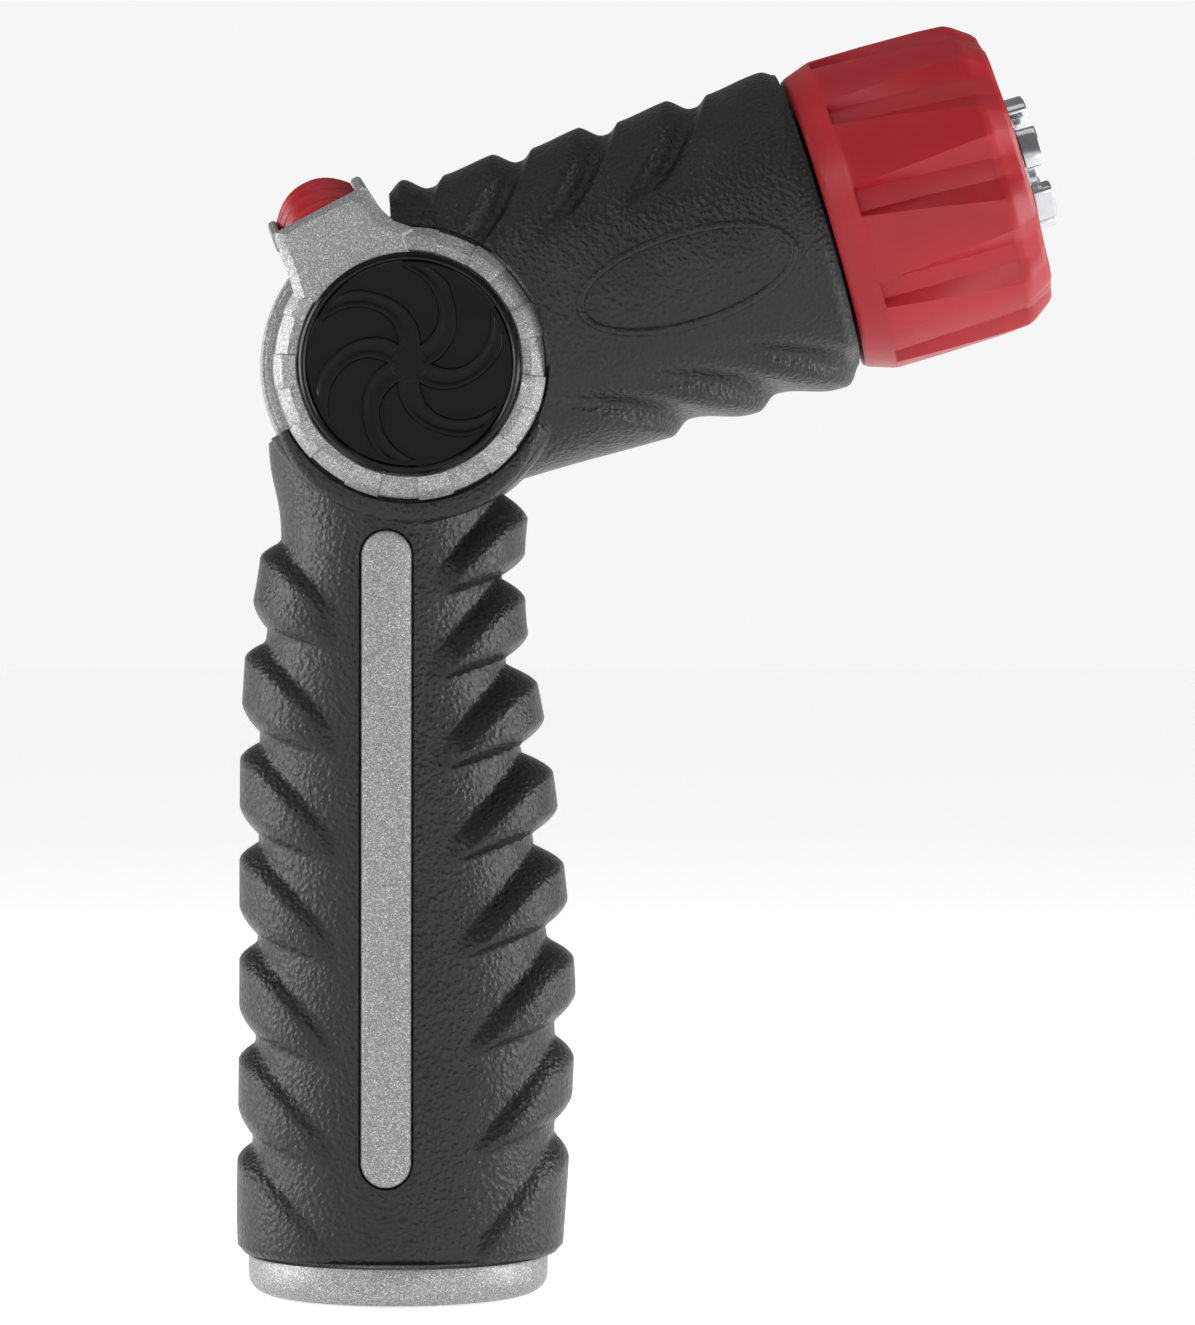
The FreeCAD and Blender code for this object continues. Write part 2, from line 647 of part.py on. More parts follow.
def bell_cover():
    """Red cover with ten flutes."""
    outline = [
        (BELL_BACK, 14.6), (BELL_BACK, 20.1), (60.3, 21.4), (66.0, 21.5), (81.4, 20.95),
        (84.9, 18.7), (BELL_FRONT, 18.0), (BELL_FRONT, 15.8), (85.0, BELL_SEAT_R), (60.0, BELL_SEAT_R), (60.0, 14.6),
    ]
    cover = turned(outline)
    cuts = []
    for i in range(FLUTES):
        pocket = flute()
        pocket.rotate(V(0, 0, 0), V(0, 0, 1), FLUTE_START + i * 360.0 / FLUTES)
        cuts.append(pocket)
    return cover.cut(cuts)


# ---------------------------------------------------------------- write every node
def build():
    pieces = {
        "valve_body": valve_body(),
        "grip_overmould": grip_overmould(),
        "inlet_collar": inlet_collar(),
        "inlet_insert": inlet_insert(),
        "hose_washer": hose_washer(),
        "inlet_oring": o_ring(14.45, 0.74, 21.5),
        "valve_rotor": valve_rotor(),
        "outlet_seal": outlet_seal(),
        "seal_spring": seal_spring(),
        "seal_retainer": seal_retainer(),
        "thumb_pad": thumb_pad(),
        "outlet_tube": along_barrel(outlet_tube()),
        "tube_oring": along_barrel(o_ring(13.5, 0.88, 29.0)),
        "tube_nut": along_barrel(tube_nut()),
        "spray_stem": along_barrel(spray_stem()),
        "deflector_crown": along_barrel(deflector_crown()),
        "crown_screw": along_barrel(crown_screw()),
        "detent_ring": along_barrel(detent_ring()),
        "snap_ring": along_barrel(snap_ring()),
        "cam_pins": along_barrel(Part.makeCompound(cam_pins())),
        "bell_oring": along_barrel(o_ring(12.05, 0.98, 65.05)),
        "bell_core": along_barrel(bell_core()),
        "bell_cover": along_barrel(bell_cover()),
    }
    paired = {
        "trim_strip": trim_strip(), "bonnet": bonnet(), "stem_oring": stem_oring(), "lever": lever_half(),
        "hub_cap": hub_cap(),
    }
    for name, near in paired.items():
        pieces[name + "_right"] = near
        pieces[name + "_left"] = mirror_y(near)
    for name, near in {"hub_screws": hub_screw(), "hub_washers": hub_washer()}.items():
        pieces[name] = Part.makeCompound([near, mirror_y(near)])
    return pieces


os.makedirs("parts", exist_ok=True)
for name, shape in build().items():
    shape.exportStep(os.path.join("parts", name + ".step"))
    volume = round(sum(solid.Volume for solid in shape.Solids), 1)
    print(name, "solids", len(shape.Solids), "valid", shape.isValid(), "volume", volume)
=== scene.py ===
# %% [markdown]
# # A thumb-control hose nozzle, made to look like the real thing
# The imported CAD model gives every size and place.  This script dresses it: the parts that show are made again
# with the small shapes that a mould or a casting leaves, and each finish is built from nodes.

# %% Load the frame
import json
import math

import bmesh
import bpy
import numpy as np
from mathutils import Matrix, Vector


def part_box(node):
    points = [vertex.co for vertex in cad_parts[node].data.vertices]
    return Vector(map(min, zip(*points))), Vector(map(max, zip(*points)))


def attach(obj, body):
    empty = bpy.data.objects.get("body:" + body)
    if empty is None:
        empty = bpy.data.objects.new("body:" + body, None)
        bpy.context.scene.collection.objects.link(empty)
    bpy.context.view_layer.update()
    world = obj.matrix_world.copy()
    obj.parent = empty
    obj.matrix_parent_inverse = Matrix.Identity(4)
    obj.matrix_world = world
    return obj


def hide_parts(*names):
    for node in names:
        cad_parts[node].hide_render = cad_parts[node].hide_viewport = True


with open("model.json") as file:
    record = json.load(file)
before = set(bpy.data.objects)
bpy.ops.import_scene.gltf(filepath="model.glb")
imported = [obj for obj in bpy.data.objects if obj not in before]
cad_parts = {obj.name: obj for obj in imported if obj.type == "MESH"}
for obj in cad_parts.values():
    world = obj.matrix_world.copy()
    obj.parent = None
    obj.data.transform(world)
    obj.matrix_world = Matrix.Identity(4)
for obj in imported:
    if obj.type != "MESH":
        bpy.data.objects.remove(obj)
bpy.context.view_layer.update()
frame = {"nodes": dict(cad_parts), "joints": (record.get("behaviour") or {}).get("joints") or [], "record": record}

# %% [markdown]
# ## Places to measure from
# Three places rule the nozzle: the hose inlet at the origin, the hub that the thumb lever turns on, and the
# barrel's axis.  The last two are already known as joints, so they are read from the frame.  Working in
# millimetres from these places keeps the numbers small, and one function turns them into the model's metres.

# %% Hub and barrel frames
MM = 0.001
joints = {joint["name"]: joint for joint in frame["joints"]}
HUB = np.array(joints["lever_turn"]["pos_m"]) / MM
BARREL = np.array(joints["bell_turn"]["pos_m"]) / MM
FORWARD = np.array(joints["bell_turn"]["axis"], float)
ACROSS = np.array([0.0, 1.0, 0.0])
UNDER = np.cross(ACROSS, FORWARD)


def on_barrel(points):
    """Turns (towards the underside, across, along the barrel) into the model's millimetres."""
    points = np.asarray(points, float)
    return BARREL + points[..., :1] * UNDER + points[..., 1:2] * ACROSS + points[..., 2:] * FORWARD


def on_hub(points):
    """Turns (forward, across, up) measured from the hub's centre into the model's millimetres."""
    return HUB + np.asarray(points, float)


def node_edge(node, axis, end):
    """One side of a CAD node's box in millimetres: axis 0 to 2, end 0 for the low side and 1 for the high."""
    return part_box(node)[end][axis] / MM


tilt = math.degrees(math.atan2(FORWARD[2], FORWARD[0]))
print("hub at", HUB.round(2), "mm; barrel tilted", round(tilt, 1), "degrees")

# %% [markdown]
# ## Building a mesh from rings
# Most moulded parts are a stack of closed rings: a handle is a stack of ovals, a bell a stack of circles
# with dents.  If every ring has the same number of points, neighbours join with four-sided faces, and a
# formula can push each point in or out.  Doing this with arrays is quick even for tens of thousands of
# points.

# %% Ring stacks and shading
SMOOTH_ANGLE = math.radians(32)


def new_object(name, vertices, faces):
    """A mesh object from millimetre points, with its normals turned outwards."""
    mesh = bpy.data.meshes.new(name)
    mesh.from_pydata((np.asarray(vertices) * MM).tolist(), [], [list(face) for face in faces])
    work = bmesh.new()
    work.from_mesh(mesh)
    bmesh.ops.remove_doubles(work, verts=work.verts, dist=1e-7)
    bmesh.ops.recalc_face_normals(work, faces=work.faces)
    work.to_mesh(mesh)
    work.free()
    obj = bpy.data.objects.new(name, mesh)
    bpy.context.scene.collection.objects.link(obj)
    return obj


def ring_stack(name, rings, closed=False):
    """A closed solid from an array (ring, point, xyz).

    Its ends get one face each, or its last ring meets its first.
    """
    rings = np.asarray(rings, float)
    count, size = rings.shape[:2]
    low = np.arange(count if closed else count - 1)[:, None]
    step = np.arange(size)[None, :]
    high, after = (low + 1) % count, (step + 1) % size
    quads = np.stack([low * size + step, low * size + after, high * size + after, high * size + step], -1)
    faces = quads.reshape(-1, 4).tolist()
    if not closed:
        faces += [list(range(size)), list(range((count - 1) * size, count * size))]
    return new_object(name, rings.reshape(-1, 3), faces)


def shade(obj, angle=SMOOTH_ANGLE):
    """Smooth shading that keeps edges sharper than the angle."""
    obj.data.shade_smooth()
    obj.data.set_sharp_from_angle(angle=angle)
    return obj


def ease(low, high, x):
    """0 below low, 1 above high, and a smooth step between."""
    t = np.clip((x - low) / (high - low), 0, 1)
    return t * t * (3 - 2 * t)


def blended(table, at, reach=3.0):
    """Reads a table of (place, value) rows, rounding its corners over reach mm either way."""
    places, values = zip(*table)
    offsets = np.linspace(-reach, reach, 9)
    return np.mean([np.interp(at + offset, places, values) for offset in offsets], axis=0)


# %% [markdown]
# ## Cutting and joining
# Holes and pockets are cut with closed tool shapes, as a mould's cores would make them.  The Boolean
# modifier does that, and its Manifold solver is fast on clean closed meshes.  The result is taken as a
# plain mesh, so no modifier is left on the piece.

# %% Boolean and bevel helpers
def settle(obj):
    """Applies what the object's modifiers make and removes them."""
    bpy.context.view_layer.update()
    graph = bpy.context.evaluated_depsgraph_get()
    mesh = bpy.data.meshes.new_from_object(obj.evaluated_get(graph))
    obj.modifiers.clear()
    obj.data = mesh
    mesh.name = obj.name
    return obj


def combine(obj, tools, operation="DIFFERENCE"):
    """Cuts the tools from obj, or joins them to it, and throws the tools away."""
    for tool in tools:
        step = obj.modifiers.new("step", "BOOLEAN")
        step.object = tool
        step.operation = operation
        step.solver = "MANIFOLD"
    settle(obj)
    for tool in tools:
        bpy.data.objects.remove(tool)
    return obj


def soften(obj, width, segments=3):
    """Rounds the sharp edges by width mm."""
    bevel = obj.modifiers.new("round", "BEVEL")
    bevel.width = width * MM
    bevel.segments = segments
    bevel.limit_method = "ANGLE"
    bevel.angle_limit = math.radians(35)
    bevel.use_clamp_overlap = True
    return settle(obj)


def gather(name, parts):
    """Joins separate closed shapes into one object."""
    work = bmesh.new()
    for part in parts:
        work.from_mesh(part.data)
    mesh = bpy.data.meshes.new(name)
    work.to_mesh(mesh)
    work.free()
    for part in parts:
        bpy.data.objects.remove(part)
    obj = bpy.data.objects.new(name, mesh)
    bpy.context.scene.collection.objects.link(obj)
    return obj


def mirrored(obj, name):
    """The same shape on the other side of the mid plane."""
    work = bmesh.new()
    work.from_mesh(obj.data)
    for vertex in work.verts:
        vertex.co.y = -vertex.co.y
    bmesh.ops.reverse_faces(work, faces=work.faces)
    mesh = bpy.data.meshes.new(name)
    work.to_mesh(mesh)
    work.free()
    other = bpy.data.objects.new(name, mesh)
    bpy.context.scene.collection.objects.link(other)
    return other


def lathe(name, outline, place, points=160):
    """Turns a closed outline of (along, radius) about the local third axis."""
    angles = np.linspace(0, 2 * math.pi, points, endpoint=False)
    circle = np.stack([np.cos(angles), np.sin(angles)], -1)
    rings = [np.column_stack([r * circle, np.full(points, along)]) for along, r in outline]
    return ring_stack(name, place(np.array(rings)), closed=True)


def rounded(outline, radius, steps=4):
    """Rounds each corner of a closed outline of (a, b) points."""
    outline = [np.array(point, float) for point in outline]
    result = []
    for before, corner, after in zip(outline[-1:] + outline[:-1], outline, outline[1:] + outline[:1]):
        back, ahead = before - corner, after - corner
        room = min(radius, 0.45 * np.linalg.norm(back), 0.45 * np.linalg.norm(ahead))
        start = corner + back / np.linalg.norm(back) * room
        end = corner + ahead / np.linalg.norm(ahead) * room
        for t in np.linspace(0, 1, steps + 1):
            result.append((1 - t) ** 2 * start + 2 * t * (1 - t) * corner + t * t * end)
    return result


def upright(points):
    """The row's own millimetres, for a shape turned about the handle's axis."""
    return np.asarray(points, float)


def across_hub(points):
    """Lays a turned shape across the hub: its axis runs out to the near side."""
    points = np.asarray(points, float)
    return on_hub(np.stack([points[..., 0], -points[..., 2], points[..., 1]], -1))


def block(name, outline, low, high):
    """A slab at the hub: a closed outline of (forward, up) swept across from low to high."""
    rings = [[(a, across, b) for a, b in outline] for across in (low, high)]
    return ring_stack(name, on_hub(np.array(rings)))


# %% [markdown]
# ## Materials
# Every finish gets its own node tree on Object coordinates, so its grain stays put when a part moves.  A
# helper keeps the trees short: it makes a node, sets its inputs and returns it.

# %% Node helpers
class Finish:
    """A material with a Principled shader and short ways to add texture nodes."""

    def __init__(self, name, colour, metallic, roughness):
        self.material = bpy.data.materials.new(name)
        self.material.use_nodes = True
        self.tree = self.material.node_tree
        self.shader = self.tree.nodes["Principled BSDF"]
        self.shader.inputs["Base Color"].default_value = (*colour, 1)
        self.shader.inputs["Metallic"].default_value = metallic
        self.shader.inputs["Roughness"].default_value = roughness
        self.place = self.tree.nodes.new("ShaderNodeTexCoord").outputs["Object"]

    def node(self, kind, **inputs):
        """A new node with its inputs set to values or joined to sockets."""
        made = self.tree.nodes.new(kind)
        for name, value in inputs.items():
            socket = made.inputs[name.replace("_", " ")]
            if isinstance(value, bpy.types.NodeSocket):
                self.tree.links.new(value, socket)
            else:
                socket.default_value = value
        return made

    def noise(self, size_mm, detail=2.0):
        """Soft noise whose lumps are about size_mm across."""
        return self.node("ShaderNodeTexNoise", Vector=self.place, Scale=1 / (size_mm * MM), Detail=detail)

    def cells(self, size_mm, place=None, feature="F1"):
        """Random cells about size_mm across, on the piece's own place or on a warped one."""
        made = self.node("ShaderNodeTexVoronoi", Vector=place or self.place, Scale=1 / (size_mm * MM))
        made.feature = feature
        return made

    def warped(self, size_mm, amount_mm):
        """Object coordinates pushed about by soft noise."""
        push = self.node("ShaderNodeVectorMath", Vector=self.noise(size_mm).outputs["Color"])
        push.operation = "SCALE"
        push.inputs["Scale"].default_value = amount_mm * MM
        moved = self.node("ShaderNodeVectorMath")
        moved.operation = "ADD"
        self.tree.links.new(self.place, moved.inputs[0])
        self.tree.links.new(push.outputs["Vector"], moved.inputs[1])
        return moved.outputs["Vector"]

    def math(self, operation, a, b):
        """A sum of two values, each a socket or a number."""
        made = self.tree.nodes.new("ShaderNodeMath")
        made.operation = operation
        for socket, value in zip(made.inputs, (a, b)):
            if isinstance(value, bpy.types.NodeSocket):
                self.tree.links.new(value, socket)
            else:
                socket.default_value = value
        return made.outputs[0]

    def ramp(self, value, stops):
        """A colour ramp from (place, grey or colour) stops."""
        made = self.node("ShaderNodeValToRGB", Fac=value)
        elements = made.color_ramp.elements
        while len(elements) < len(stops):
            elements.new(0.5)
        for element, (where, colour) in zip(elements, stops):
            element.position = where
            element.color = (*colour, 1) if isinstance(colour, tuple) else (colour, colour, colour, 1)
        return made.outputs["Color"]

    def feed(self, socket, value):
        """Leads a value into one of the shader's sockets."""
        self.tree.links.new(value, self.shader.inputs[socket])

    def bump(self, height, depth_mm, strength=1.0):
        """Tips the surface as if it rose by depth_mm where the height is 1."""
        made = self.node("ShaderNodeBump", Height=height, Distance=depth_mm * MM, Strength=strength)
        self.feed("Normal", made.outputs["Normal"])


# %% [markdown]
# The grip is a thermoplastic rubber.  Its mould is etched, which leaves a leathery net of small pebbles about
# 0.6 mm across with finer grain on top, so light breaks up into short glints.  Warped cells give the net and
# fine noise the grain.

# %% Black pebbled rubber
def pebbled_rubber():
    finish = Finish("pebbled_rubber", (0.009, 0.009, 0.0095), 0.0, 0.45)
    net = finish.cells(0.62, finish.warped(0.8, 0.55), "SMOOTH_F1")
    pebble = finish.ramp(net.outputs["Distance"], [(0.10, 0.95), (0.75, 0.0)])
    grain = finish.noise(0.22, 3.0).outputs["Fac"]
    height = finish.math("ADD", finish.math("MULTIPLY", pebble, 0.75), finish.math("MULTIPLY", grain, 0.3))
    finish.bump(height, 0.19, 1.0)
    finish.shader.inputs["Specular IOR Level"].default_value = 0.38
    cloud = finish.noise(9.0, 3.0).outputs["Fac"]
    shades = [(0.3, (0.0035, 0.0035, 0.0038)), (0.75, (0.008, 0.008, 0.0088))]
    finish.feed("Base Color", finish.ramp(cloud, shades))
    finish.feed("Roughness", finish.ramp(pebble, [(0.0, 0.48), (1.0, 0.27)]))
    return finish.material


# %% [markdown]
# The silver parts are painted with a coarse metallic paint: flakes about a sixth of a millimetre across lie
# at slightly different angles, so some flash and their neighbours stay grey.  Small cells, and finer ones, paint
# each flake its own brightness into the colour, a painted glint, and the same cells tip the surface a little.

# %% Sparkling silver paint
def sparkle_paint():
    finish = Finish("sparkle_paint", (0.33, 0.33, 0.325), 0.6, 0.42)
    flakes = finish.cells(0.15)
    fine_glint_cells = finish.cells(0.08)
    flash = finish.node("ShaderNodeSeparateColor", Color=flakes.outputs["Color"]).outputs[0]
    fine_glint = finish.node("ShaderNodeSeparateColor", Color=fine_glint_cells.outputs["Color"]).outputs[1]
    mix = finish.math("ADD", finish.math("MULTIPLY", flash, 0.6), finish.math("MULTIPLY", fine_glint, 0.4))
    stops = [(0.1, 0.17), (0.5, 0.26), (0.76, 0.36), (0.92, 0.72)]
    # the bright stops are painted glint: flakes that would flash in the light are made lighter in colour
    finish.feed("Base Color", finish.ramp(mix, stops))
    finish.feed("Roughness", finish.ramp(flash, [(0.0, 0.58), (1.0, 0.36)]))
    finish.bump(mix, 0.03, 0.5)
    return finish.material


# %% [markdown]
# The bell and the thumb pad are red plastic with a satin skin.  Real moulded plastic isn't one flat red: the
# colour wanders a little, and the skin has a very faint orange peel and fine handling marks.

# %% Satin red plastic
def satin_red(name="satin_red", roughness=0.36):
    finish = Finish(name, (0.34, 0.013, 0.020), 0.0, roughness)
    cloud = finish.noise(14.0, 3.0).outputs["Fac"]
    finish.feed("Base Color", finish.ramp(cloud, [(0.3, (0.285, 0.009, 0.015)), (0.7, (0.34, 0.014, 0.020))]))
    marks = finish.noise(0.5, 4.0).outputs["Fac"]
    finish.feed("Roughness", finish.ramp(marks, [(0.3, roughness - 0.05), (0.75, roughness + 0.08)]))
    finish.bump(marks, 0.02, 0.25)
    finish.shader.inputs["Specular IOR Level"].default_value = 0.3
    return finish.material


# %% [markdown]
# The other finishes share one recipe: a base colour, a soft cloud that shifts it a little, and a roughness
# that wanders.  Chrome keeps almost no texture, machined brass and steel show fine turned lines, and the
# plastics show only a faint grain.

# %% Plain metals, plastics and seals
def turned_metal(name, dark, light, roughness):
    finish = Finish(name, light, 1.0, roughness)
    cloud = finish.noise(5.0, 3.0).outputs["Fac"]
    finish.feed("Base Color", finish.ramp(cloud, [(0.3, dark), (0.7, light)]))
    lines = finish.noise(0.12, 2.0).outputs["Fac"]
    finish.feed("Roughness", finish.ramp(lines, [(0.3, roughness - 0.06), (0.7, roughness + 0.1)]))
    finish.bump(lines, 0.01, 0.3)
    return finish.material


def moulded(name, dark, light, roughness, grain_mm=0.35, depth_mm=0.02, shine=0.5):
    finish = Finish(name, light, 0.0, roughness)
    finish.shader.inputs["Specular IOR Level"].default_value = shine
    cloud = finish.noise(7.0, 3.0).outputs["Fac"]
    finish.feed("Base Color", finish.ramp(cloud, [(0.3, dark), (0.7, light)]))
    grain = finish.noise(grain_mm, 3.0).outputs["Fac"]
    finish.feed("Roughness", finish.ramp(grain, [(0.3, roughness - 0.04), (0.7, roughness + 0.06)]))
    finish.bump(grain, depth_mm, 0.3)
    return finish.material


FINISHES = {
    "silver_paint": sparkle_paint(),
    "black_grip": pebbled_rubber(),
    "red_bell": satin_red(),
    "red_pad": satin_red("satin_red_pad", 0.32),
    "black_cap": moulded("gloss_black", (0.002, 0.002, 0.0022), (0.004, 0.004, 0.0045), 0.2, 1.5, 0.01, 0.18),
    "black_plastic": moulded("satin_black", (0.012, 0.012, 0.012), (0.022, 0.022, 0.023), 0.42),
    "chrome": turned_metal("bright_chrome", (0.50, 0.51, 0.53), (0.64, 0.65, 0.67), 0.13),
    "brass": turned_metal("machined_brass", (0.62, 0.42, 0.16), (0.78, 0.57, 0.25), 0.26),
    "steel": turned_metal("stainless", (0.48, 0.48, 0.5), (0.6, 0.6, 0.62), 0.28),
    "seal_rubber": moulded("seal_rubber", (0.01, 0.01, 0.01), (0.02, 0.02, 0.02), 0.55, 0.3, 0.03),
    "white_plastic": moulded("white_acetal", (0.66, 0.65, 0.6), (0.78, 0.77, 0.73), 0.35),
}


def dress(obj, slot):
    """Gives an object one finish."""
    obj.data.materials.clear()
    obj.data.materials.append(FINISHES[slot])
    return obj


def place_piece(obj, body, slot, *nodes):
    """Finishes a new piece, lets it ride on a body and hides the CAD nodes it stands for."""
    dress(obj, slot)
    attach(obj, body)
    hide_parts(*nodes)
    triangles = sum(len(face.vertices) - 2 for face in obj.data.polygons)
    print(obj.name, "has", triangles, "triangles")


for row in frame["record"]["subparts"]:
    dress(frame["nodes"][row["node"]], row["material_slot"])
print("finishes made:", len(FINISHES))

# %% [markdown]
# ## Geometry Nodes for what goes round in a ring
# The tread on the lever's cheek, the blades on the cap, the crown's lobes: each is one small shape repeated
# round an axis.  One node tree does them all.  It copies its input round a centre, a set number of times, and
# its inputs have names so that the count and the axis can be changed without touching the nodes.

# %% A tree that repeats a shape round an axis
def ring_tree():
    tree = bpy.data.node_groups.new("repeat_round_axis", "GeometryNodeTree")
    face = tree.interface
    face.new_socket("Geometry", in_out="INPUT", socket_type="NodeSocketGeometry")
    face.new_socket("Count", in_out="INPUT", socket_type="NodeSocketInt")
    face.new_socket("Turn", in_out="INPUT", socket_type="NodeSocketFloat")
    face.new_socket("Centre", in_out="INPUT", socket_type="NodeSocketVector")
    face.new_socket("Axis", in_out="INPUT", socket_type="NodeSocketVector")
    face.new_socket("Material", in_out="INPUT", socket_type="NodeSocketMaterial")
    face.new_socket("Geometry", in_out="OUTPUT", socket_type="NodeSocketGeometry")
    make, link = tree.nodes.new, tree.links.new
    given, result = make("NodeGroupInput"), make("NodeGroupOutput")

    back = make("ShaderNodeVectorMath")
    back.operation = "SCALE"
    back.inputs["Scale"].default_value = -1
    link(given.outputs["Centre"], back.inputs[0])
    item = make("GeometryNodeTransform")
    link(given.outputs["Geometry"], item.inputs["Geometry"])
    link(back.outputs["Vector"], item.inputs["Translation"])

    points = make("GeometryNodePoints")
    link(given.outputs["Count"], points.inputs["Count"])
    link(given.outputs["Centre"], points.inputs["Position"])
    angle = make("ShaderNodeMath")
    angle.operation = "MULTIPLY"
    link(make("GeometryNodeInputIndex").outputs[0], angle.inputs[0])
    link(given.outputs["Turn"], angle.inputs[1])
    turn = make("FunctionNodeAxisAngleToRotation")
    link(given.outputs["Axis"], turn.inputs["Axis"])
    link(angle.outputs[0], turn.inputs["Angle"])

    copies = make("GeometryNodeInstanceOnPoints")
    link(points.outputs[0], copies.inputs["Points"])
    link(item.outputs[0], copies.inputs["Instance"])
    link(turn.outputs[0], copies.inputs["Rotation"])
    real = make("GeometryNodeRealizeInstances")
    link(copies.outputs[0], real.inputs["Geometry"])
    paint = make("GeometryNodeSetMaterial")
    link(real.outputs[0], paint.inputs["Geometry"])
    link(given.outputs["Material"], paint.inputs["Material"])
    link(paint.outputs[0], result.inputs[0])
    return tree


RING_TREE = ring_tree()


def run_tree(obj, tree, **values):
    """Runs a node tree on an object, with its inputs set by their identifiers, and keeps the plain mesh."""
    modifier = obj.modifiers.new("nodes", "NODES")
    modifier.node_group = tree
    for socket in tree.interface.items_tree:
        if socket.in_out == "INPUT" and socket.name in values:
            modifier[socket.identifier] = values[socket.name]
    return settle(obj)


def repeat_round(obj, count, centre, axis, slot, turn=None):
    """Copies obj round an axis, evenly unless the turn between copies is given in degrees."""
    step = math.radians(turn) if turn else 2 * math.pi / count
    centre = (np.asarray(centre, float) * MM).tolist()
    return run_tree(obj, RING_TREE, Count=count, Turn=step, Centre=centre, Axis=list(map(float, axis)),
                    Material=FINISHES[slot])


# %% [markdown]
# ## The rubber grip: the handle
# The handle is a stack of rounded ovals.  Slanted ribs wrap its front and back and droop towards the middle
# of each side, like a fishbone.  Each rib is a band between two slanting lines: a steep upper edge that
# catches a finger and a softer lower one.  A formula in height and depth gives the band at any point, and
# pushes the oval's points out.  The edges fade before they reach the silver strip.

# %% Handle outline and ribs
GRIP_FOOT = node_edge("grip_overmould", 2, 0) + 0.02
GRIP_TOP = 118.0
BACK_LINE = [(5, -20.5), (14, -19.9), (30, -19.3), (45, -19.0), (60, -18.8), (75, -18.7), (88, -17.9),
             (98, -16.0), (104, -15.6), (108, -16.6), (112, -17.5), (118, -17.4)]
FRONT_LINE = [(5, 20.8), (14, 20.9), (30, 21.3), (42, 20.9), (60, 18.3), (75, 16.3), (90, 13.6), (101, 13.3),
              (108, 13.8), (113, 15.0), (118, 16.5)]
HALF_WIDTH = [(5, 20.0), (14, 19.9), (45, 18.8), (75, 17.8), (104, 17.0), (118, 17.0)]
BACK_RIB_OUT = [(5, 1.1), (12, 1.8), (30, 2.2), (60, 2.6), (82, 2.6), (93, 2.6), (104, 2.6)]
FRONT_RIB_OUT = [(5, 1.4), (15, 2.0), (30, 2.4), (42, 3.1), (54, 3.6), (66, 4.0), (80, 3.8), (92, 3.6),
                 (107, 4.2)]
BACK_RIB_TOPS = [20.0 + 13.5 * i for i in range(7)]
FRONT_RIB_TOPS = [21.2, 34.4, 47.5, 60.1, 72.6, 84.4, 96.3, 107.6]
OVAL_POWER = 2.25


def handle_size(z):
    """Middle, half depth and half width of the plain handle at each height."""
    back, front = blended(BACK_LINE, z), blended(FRONT_LINE, z)
    return (back + front) / 2, (front - back) / 2, blended(HALF_WIDTH, z)


def facet(low, high, x):
    """A ramp from 0 to 1 that starts crisply and rounds over at its top."""
    t = np.clip((x - low) / (high - low), 0, 1)
    return 0.4 * t + 0.6 * t * (2 - t)


def back_rib(x, z, top):
    """A rib on the back: a steep upper face, a broad outer face and a long bevel below, all slanting down."""
    edge = float(blended(BACK_LINE, np.array(top)))
    inward = np.clip(x - edge, -3, 14)
    upper = top - 1.12 * inward
    bevel = top - 8.6 - 0.64 * inward
    foot = top - 12.3 - 0.32 * inward
    fade = np.clip((-8.2 - x) / (-8.2 - edge), 0, 1) ** 0.7
    band = facet(0.0, 2.1, upper - z)
    if top > BACK_RIB_TOPS[0]:
        band = band * facet(0, 1, (z - foot) / np.maximum(bevel - foot, 0.5))
    return fade * band


def front_rib(x, z, top):
    """A rib on the front: like the back ones, but taller, with a wide upper facet and a squared inner end."""
    edge = float(blended(FRONT_LINE, np.array(top)))
    inner = 5.6 + 0.62 * (edge - 13.4)
    inward = np.clip(edge - x, -4, 14)
    upper = top - 1.27 * inward
    bevel = top - 8.0 - 0.60 * inward
    foot = top - 11.3 - 0.34 * inward
    fade = ease(0.0, 1.5, x - inner) * (0.42 + 0.58 * np.clip((x - inner) / (edge - inner), 0, 1))
    band = facet(0.0, 3.0, upper - z)
    if top > FRONT_RIB_TOPS[0]:
        band = band * facet(0, 1, (z - foot) / np.maximum(bevel - foot, 0.5))
    return fade * band


def handle_rings(rows=236, points=250):
    z = np.linspace(GRIP_FOOT, GRIP_TOP, rows)[:, None]
    middle, depth, width = handle_size(z)
    angle = np.linspace(0, 2 * math.pi, points, endpoint=False)[None, :]
    c, s = np.cos(angle), np.sin(angle)
    power = 2 / OVAL_POWER
    x = middle + depth * np.sign(c) * np.abs(c) ** power
    y = width * np.sign(s) * np.abs(s) ** power
    slope_x = np.gradient(x, axis=1)
    slope_y = np.gradient(y, axis=1)
    length = np.hypot(slope_x, slope_y) + 1e-9
    out_x, out_y = slope_y / length, -slope_x / length
    rise = np.zeros_like(x)
    for top in BACK_RIB_TOPS:
        rise = np.maximum(rise, blended(BACK_RIB_OUT, z) * back_rib(x, z, top))
    for top in FRONT_RIB_TOPS:
        rise = np.maximum(rise, blended(FRONT_RIB_OUT, z) * front_rib(x, z, top))
    rise = rise - 0.8 * (1 - ease(0.0, 1.0, z - GRIP_FOOT))
    return np.stack([x + out_x * rise, y + out_y * rise, z + 0 * x], -1)


handle = ring_stack("grip", handle_rings())
print("handle rings:", len(handle.data.vertices), "points")

# %% [markdown]
# ## The rubber grip: the barrel
# The barrel's skin is tall and narrow at the hub and becomes round at the bell.  Grooves sweep back from its
# top edge and from its underside, and die out before they reach the plain sides.  A groove is a dent whose
# middle line slants: the side towards the bell is steep, and the other one rises slowly.

